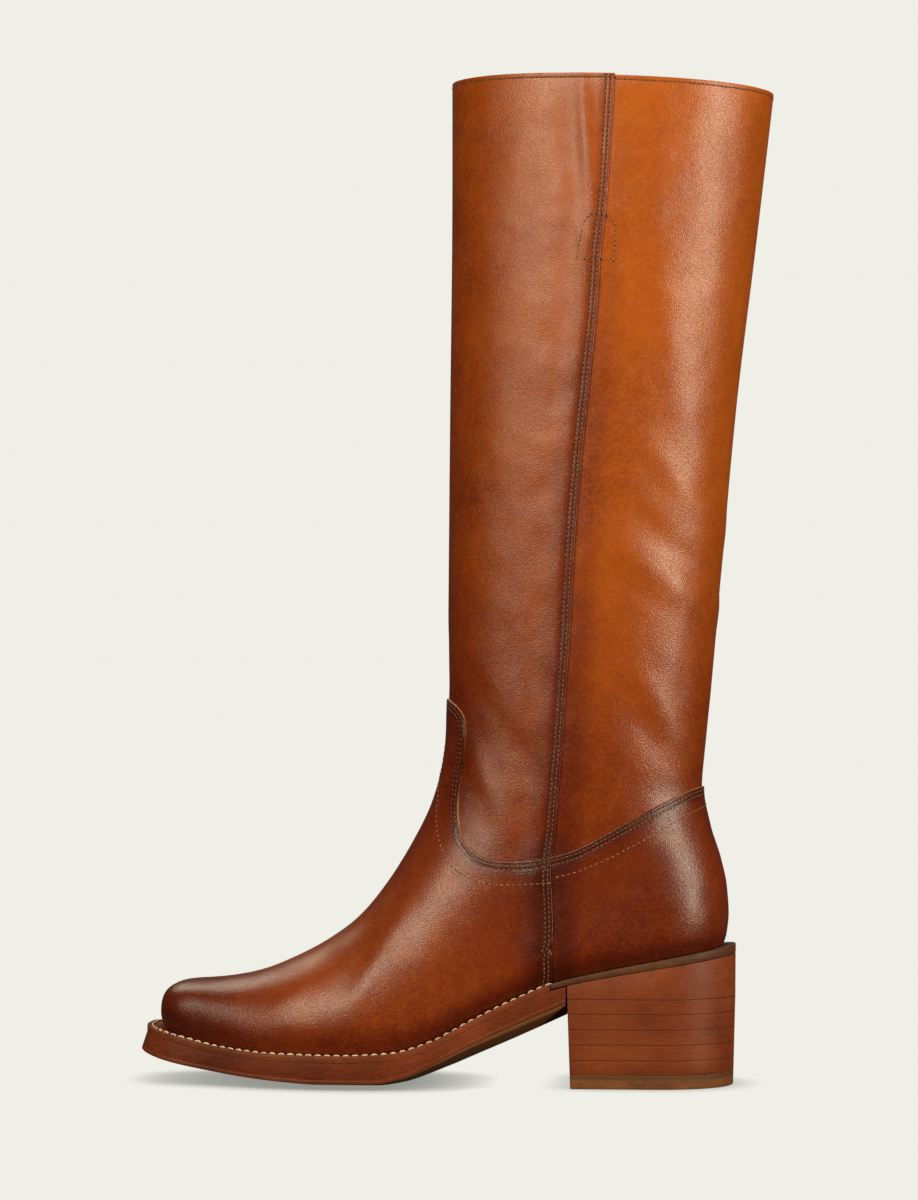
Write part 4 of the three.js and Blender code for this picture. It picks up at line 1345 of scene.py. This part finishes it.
def pull_strap(name, side, replaced):
    path = strap_path()
    way = np.gradient(path, axis=0)
    way /= np.linalg.norm(way, axis=1, keepdims=True)
    half, thick = STRAP["width"] / 2, STRAP["thick"]
    edge = [(half - a, b) for a, b in STRAP_EDGE]
    section = edge + [(-x, b) for x, b in reversed(edge)]
    section += [(-half + a, thick - b) for a, b in STRAP_EDGE]
    section += [(half - a, thick - b) for a, b in reversed(STRAP_EDGE)]
    wall = np.array([across(np.array(STRAP["x"]), np.array(z))[1] for z in path[:, 0]]).ravel()
    sections = []
    for shift, through in section:
        off = path[:, 1] + STRAP["off"] + way[:, 0] * through
        z = path[:, 0] - way[:, 1] * through
        y = side * (wall - WALL - off)
        sections.append(np.column_stack([np.full(len(z), STRAP["x"] + shift), y, z]))
    points = np.stack(sections, axis=1)
    index, quads = ring_faces(*points.shape[:2])
    ends = [index[0].tolist(), index[-1].tolist()]
    return add_piece(name, points, quads + ends, STRAP_FINISH, "pull_straps", replaced)


STRAP_FINISH = natural_leather("strap_leather", (176, 112, 62), (140, 82, 42))
pull_strap("strap_outer", 1, ("pull_strap_outer",))
pull_strap("strap_inner", -1, ("pull_strap_inner",))

# %% [markdown]
# ## Stitches
# Every row of stitches is the same small thing again and again: a short arc of thread between two needle
# holes. That is work for Geometry Nodes. The script gives only the line, with the direction that is up
# from the leather at each of its points. The tree turns it into points one pitch apart, puts an arc of
# thread and a small dark disc at each, painted shade where the needle hole sinks into the leather, and
# makes them real.

# %% The stitch tree


def stitch_tree():
    tree = bpy.data.node_groups.new("stitch_row", "GeometryNodeTree")
    tree.interface.new_socket("Geometry", in_out="INPUT", socket_type="NodeSocketGeometry")
    for name in ("Pitch", "Stitch Length", "Thread", "Rise"):
        tree.interface.new_socket(name, in_out="INPUT", socket_type="NodeSocketFloat")
    for name in ("Thread Finish", "Hole Finish"):
        tree.interface.new_socket(name, in_out="INPUT", socket_type="NodeSocketMaterial")
    tree.interface.new_socket("Geometry", in_out="OUTPUT", socket_type="NodeSocketGeometry")
    node = node_maker(tree)

    def times(a, b):
        return maths(node, "MULTIPLY", {0: a}, {1: b})

    given = node("NodeGroupInput").outputs
    row = node("GeometryNodeMeshToCurve", {"Mesh": given["Geometry"]})
    spots = node("GeometryNodeCurveToPoints", {"Curve": row.outputs[0], "Length": given["Pitch"]},
                 mode="LENGTH")
    up = node("GeometryNodeInputNamedAttribute", values={"Name": "up"}, data_type="FLOAT_VECTOR")
    facing = node(
        "FunctionNodeAxesToRotation",
        {"Primary Axis": spots.outputs["Tangent"], "Secondary Axis": up.outputs[0]},
        primary_axis="X", secondary_axis="Z",
    )
    vary = node("FunctionNodeRandomValue", data_type="FLOAT_VECTOR")
    vary.inputs["Min"].default_value = (0.9, 0.94, 0.88)
    vary.inputs["Max"].default_value = (1.06, 1.06, 1.12)
    vary.inputs["Seed"].default_value = 4
    start, end = (
        node("ShaderNodeCombineXYZ",
             {"X": times(given["Stitch Length"], way), "Z": times(given["Thread"], -0.5)})
        for way in (-0.5, 0.5)
    )
    middle = node("ShaderNodeCombineXYZ", {"Z": times(given["Rise"], 2.0)})
    arc = node("GeometryNodeCurveQuadraticBezier",
               {"Start": start.outputs[0], "Middle": middle.outputs[0], "End": end.outputs[0]},
               {"Resolution": 5})
    section = node("GeometryNodeCurvePrimitiveCircle",
                   {"Radius": times(given["Thread"], 0.5)}, {"Resolution": 6})
    thread = node("GeometryNodeCurveToMesh",
                  {"Curve": arc.outputs[0], "Profile Curve": section.outputs[0]}, {"Fill Caps": True})
    # A flat dark bead at each needle hole: painted shade where the hole sinks into the leather.
    bead = node("GeometryNodeMeshUVSphere",
                {"Radius": times(given["Thread"], 0.92)}, {"Segments": 7, "Rings": 4})
    flat = node("GeometryNodeTransform", {"Geometry": bead.outputs[0]}, {"Scale": (1, 1, 0.35)})
    shift = node("ShaderNodeCombineXYZ",
                 {"X": times(given["Pitch"], 0.5), "Z": times(given["Thread"], -0.05)})
    hole_shade = node("GeometryNodeTransform", {"Geometry": flat.outputs[0], "Translation": shift.outputs[0]})

    def repeated(item, scale, finish):
        wanted = {"Points": spots.outputs["Points"], "Instance": item, "Rotation": facing.outputs[0]}
        if scale:
            wanted["Scale"] = scale
        instances = node("GeometryNodeInstanceOnPoints", wanted)
        real = node("GeometryNodeRealizeInstances", {"Geometry": instances.outputs[0]})
        return node("GeometryNodeSetMaterial", {"Geometry": real.outputs[0], "Material": finish}).outputs[0]

    threads = repeated(thread.outputs[0], vary.outputs[0], given["Thread Finish"])
    hole_shades = repeated(hole_shade.outputs[0], None, given["Hole Finish"])
    both = node("GeometryNodeJoinGeometry")
    tree.links.new(threads, both.inputs[0])
    tree.links.new(hole_shades, both.inputs[0])
    node("NodeGroupOutput", {0: both.outputs[0]})
    return tree


STITCH_TREE = stitch_tree()
print("stitch tree of", len(STITCH_TREE.nodes), "nodes")

# %% Thread


def thread_finish(name, light, dark, rough=0.6):
    finish, shader, node, link = new_finish(name)
    spot = node("ShaderNodeTexCoord").outputs["Object"]
    fibre = noise(node, spot, 1500, 3)
    link(colour_ramp(node, fibre.outputs["Fac"], [(0.35, dark), (0.65, light)]), shader.inputs["Base Color"])
    emboss(node, link, shader, fibre.outputs["Fac"], 0.4, 0.0002)
    shader.inputs["Roughness"].default_value = rough
    return finish


TAN_THREAD = thread_finish("tan_thread", (138, 88, 48), (74, 40, 19))
GOLD_THREAD = thread_finish("gold_thread", (172, 116, 60), (110, 63, 27))
CREAM_THREAD = thread_finish("cream_thread", (222, 194, 164), (176, 142, 110))
# Dark discs at the needle holes: painted shade of the holes.
HOLE_SHADE_FINISH = thread_finish("needle_hole", (40, 20, 10), (22, 10, 5), 0.9)
print("threads:", TAN_THREAD.name, GOLD_THREAD.name, CREAM_THREAD.name)


def stitch_rows(name, rows, pitch, length, thread, arc, finish):
    """rows: (points in mm, directions up from the leather) of each line. Sizes are in mm."""
    points, edges, ups = [], [], []
    for line_points, up in rows:
        first = len(points)
        points += (line_points * MM).tolist()
        ups += up.tolist()
        edges += [(first + k, first + k + 1) for k in range(len(line_points) - 1)]
    mesh = bpy.data.meshes.new(name + "_lines")
    mesh.from_pydata(points, edges, [])
    mesh.attributes.new("up", "FLOAT_VECTOR", "POINT").data.foreach_set("vector", np.ravel(ups))
    rows_object = add_object(name + "_lines", mesh)
    modifier = rows_object.modifiers.new("stitches", "NODES")
    modifier.node_group = STITCH_TREE
    sizes = {"Pitch": pitch * MM, "Stitch Length": length * MM, "Thread": thread * MM, "Rise": arc * MM,
             "Thread Finish": finish, "Hole Finish": HOLE_SHADE_FINISH}
    for item in STITCH_TREE.interface.items_tree:
        if item.in_out == "INPUT" and item.name in sizes:
            modifier[item.identifier] = sizes[item.name]
    evaluated = rows_object.evaluated_get(bpy.context.evaluated_depsgraph_get())
    made = bpy.data.meshes.new_from_object(evaluated)
    bpy.data.objects.remove(rows_object)
    made.name = name
    made.shade_smooth()
    piece = add_object(name, made)
    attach(piece, "root")
    print(f"{name}: {sum(len(f.vertices) - 2 for f in made.polygons)} triangles")
    return piece


# %% Rows on the leather
IN_GROOVE = -0.10
SEAM_ENDS = (0.12, TOP - 0.02)


def on_leather(uv, spacing=0.8):
    """A row: its points on the outermost leather, and the direction up at each."""
    uv = even(uv, max(3, round(length_along(uv)[-1] / spacing)))
    u, v = uv[:, 0], uv[:, 1]
    return skin.lifted(u, v, top_lift(u, v) + IN_GROOVE), skin.normal(u, v)


def joined(distance, lines, meeting):
    """One row beside the edges of both sides, which meet at the front or the back of the boot."""
    halves = []
    for side in SIDES:
        row = beside(lines[side], -side * distance)
        if meeting == "front":
            row = row[side * row[:, 0] > 0]
            row = np.vstack([(0.0, row[0, 1]), row])
            halves.append(row)
        else:
            row = row[np.abs(row[:, 0]) < 1]
            row = np.vstack([row, (side, row[-1, 1])])
            halves.append(row[::-1] if side > 0 else (row + (2.0, 0.0))[::-1])
    return np.vstack([halves[0][::-1], halves[1][1:]])


seam_rows = []
for side in SIDES:
    for distance in SEAM_ROWS:
        row = beside(seams[side], side * distance)
        seam_rows.append(on_leather(part_of(row, *SEAM_ENDS)))
stitch_rows("seam_stitches", seam_rows, 2.05, 1.3, 0.5, 0.22, TAN_THREAD)
edge_rows = [on_leather(joined(distance, vamp_lines, "front")) for distance in SEAM_ROWS]
edge_rows += [on_leather(joined(distance, counter_lines, "back")) for distance in SEAM_ROWS]
stitch_rows("edge_stitches", edge_rows, 2.05, 1.3, 0.5, 0.22, TAN_THREAD)

# %% The single row below, the rim and the strap's D
LOWER_FRONT = [(8.6, 150), (8.5, 129), (8.6, 122), (8.2, 115.3), (6.6, 108.4), (3.3, 100.7),
               (-0.5, 96.4), (-7.8, 92.6), (-14.9, 90.3), (-22, 89.6), (-32.5, 89.9), (-42.6, 90.6)]
LOWER_BACK = [(-46.2, 93.2), (-53.4, 95), (-60.4, 97.7), (-67.4, 100.6), (-76.2, 105.2), (-87.3, 111.1),
              (-98.3, 117.7), (-108.4, 122.8), (-111.5, 124.4)]
D_ARCH = [(-55.7, 364.2), (-57, 371), (-58.6, 379), (-61.4, 382.9), (-65, 383.8), (-69, 382.8),
          (-71.8, 380.2), (-72.7, 377), (-72.4, 371.5), (-71.8, 364.1)]
D_FOOT = [(-55.7, 364.2), (-63.5, 364.0), (-71.8, 364.1)]
single_rows = [on_leather(line(points, side)) for points in (LOWER_FRONT, LOWER_BACK) for side in SIDES]
stitch_rows("single_stitches", single_rows, 2.6, 1.7, 0.5, 0.26, GOLD_THREAD)
strap_rows = [on_leather(line(points, side)) for points in (D_ARCH, D_FOOT) for side in SIDES]
stitch_rows("strap_stitches", strap_rows, 2.15, 1.15, 0.58, 0.36, GOLD_THREAD)
RIM_TRIM = 0.006
TOP_ROW = ROWS[-1]["frontZ"] - ROWS[-2]["frontZ"]  # height in mm of the last step of v
rim_rows = []
for first, last, height in ((-1, 1, front_top), (1, -1, back_top)):
    v = height - RIM_ROW / TOP_ROW
    start_u, end_u = seam_u(v, first), seam_u(v, last) + (2.0 if first > 0 else 0.0)
    rim_rows.append(on_leather(level(start_u + RIM_TRIM, end_u - RIM_TRIM, v)))
stitch_rows("rim_stitches", rim_rows, 2.2, 1.6, 0.45, 0.2, TAN_THREAD)

# %% The welt's stitches
WELT_STITCH = {"inset": 2.4, "pitch": 4.15, "end": -42.0}
walk = round_the_toe(WELT_STITCH["inset"], WELT_STITCH["end"], 400)
welt_row = np.column_stack([walk, seat(walk[:, 0]) + 0.05])
straight_up = np.tile((0.0, 0.0, 1.0), (len(welt_row), 1))
stitch_rows("welt_stitches", [(welt_row, straight_up)], WELT_STITCH["pitch"], 3.2, 0.9, 0.4, CREAM_THREAD)
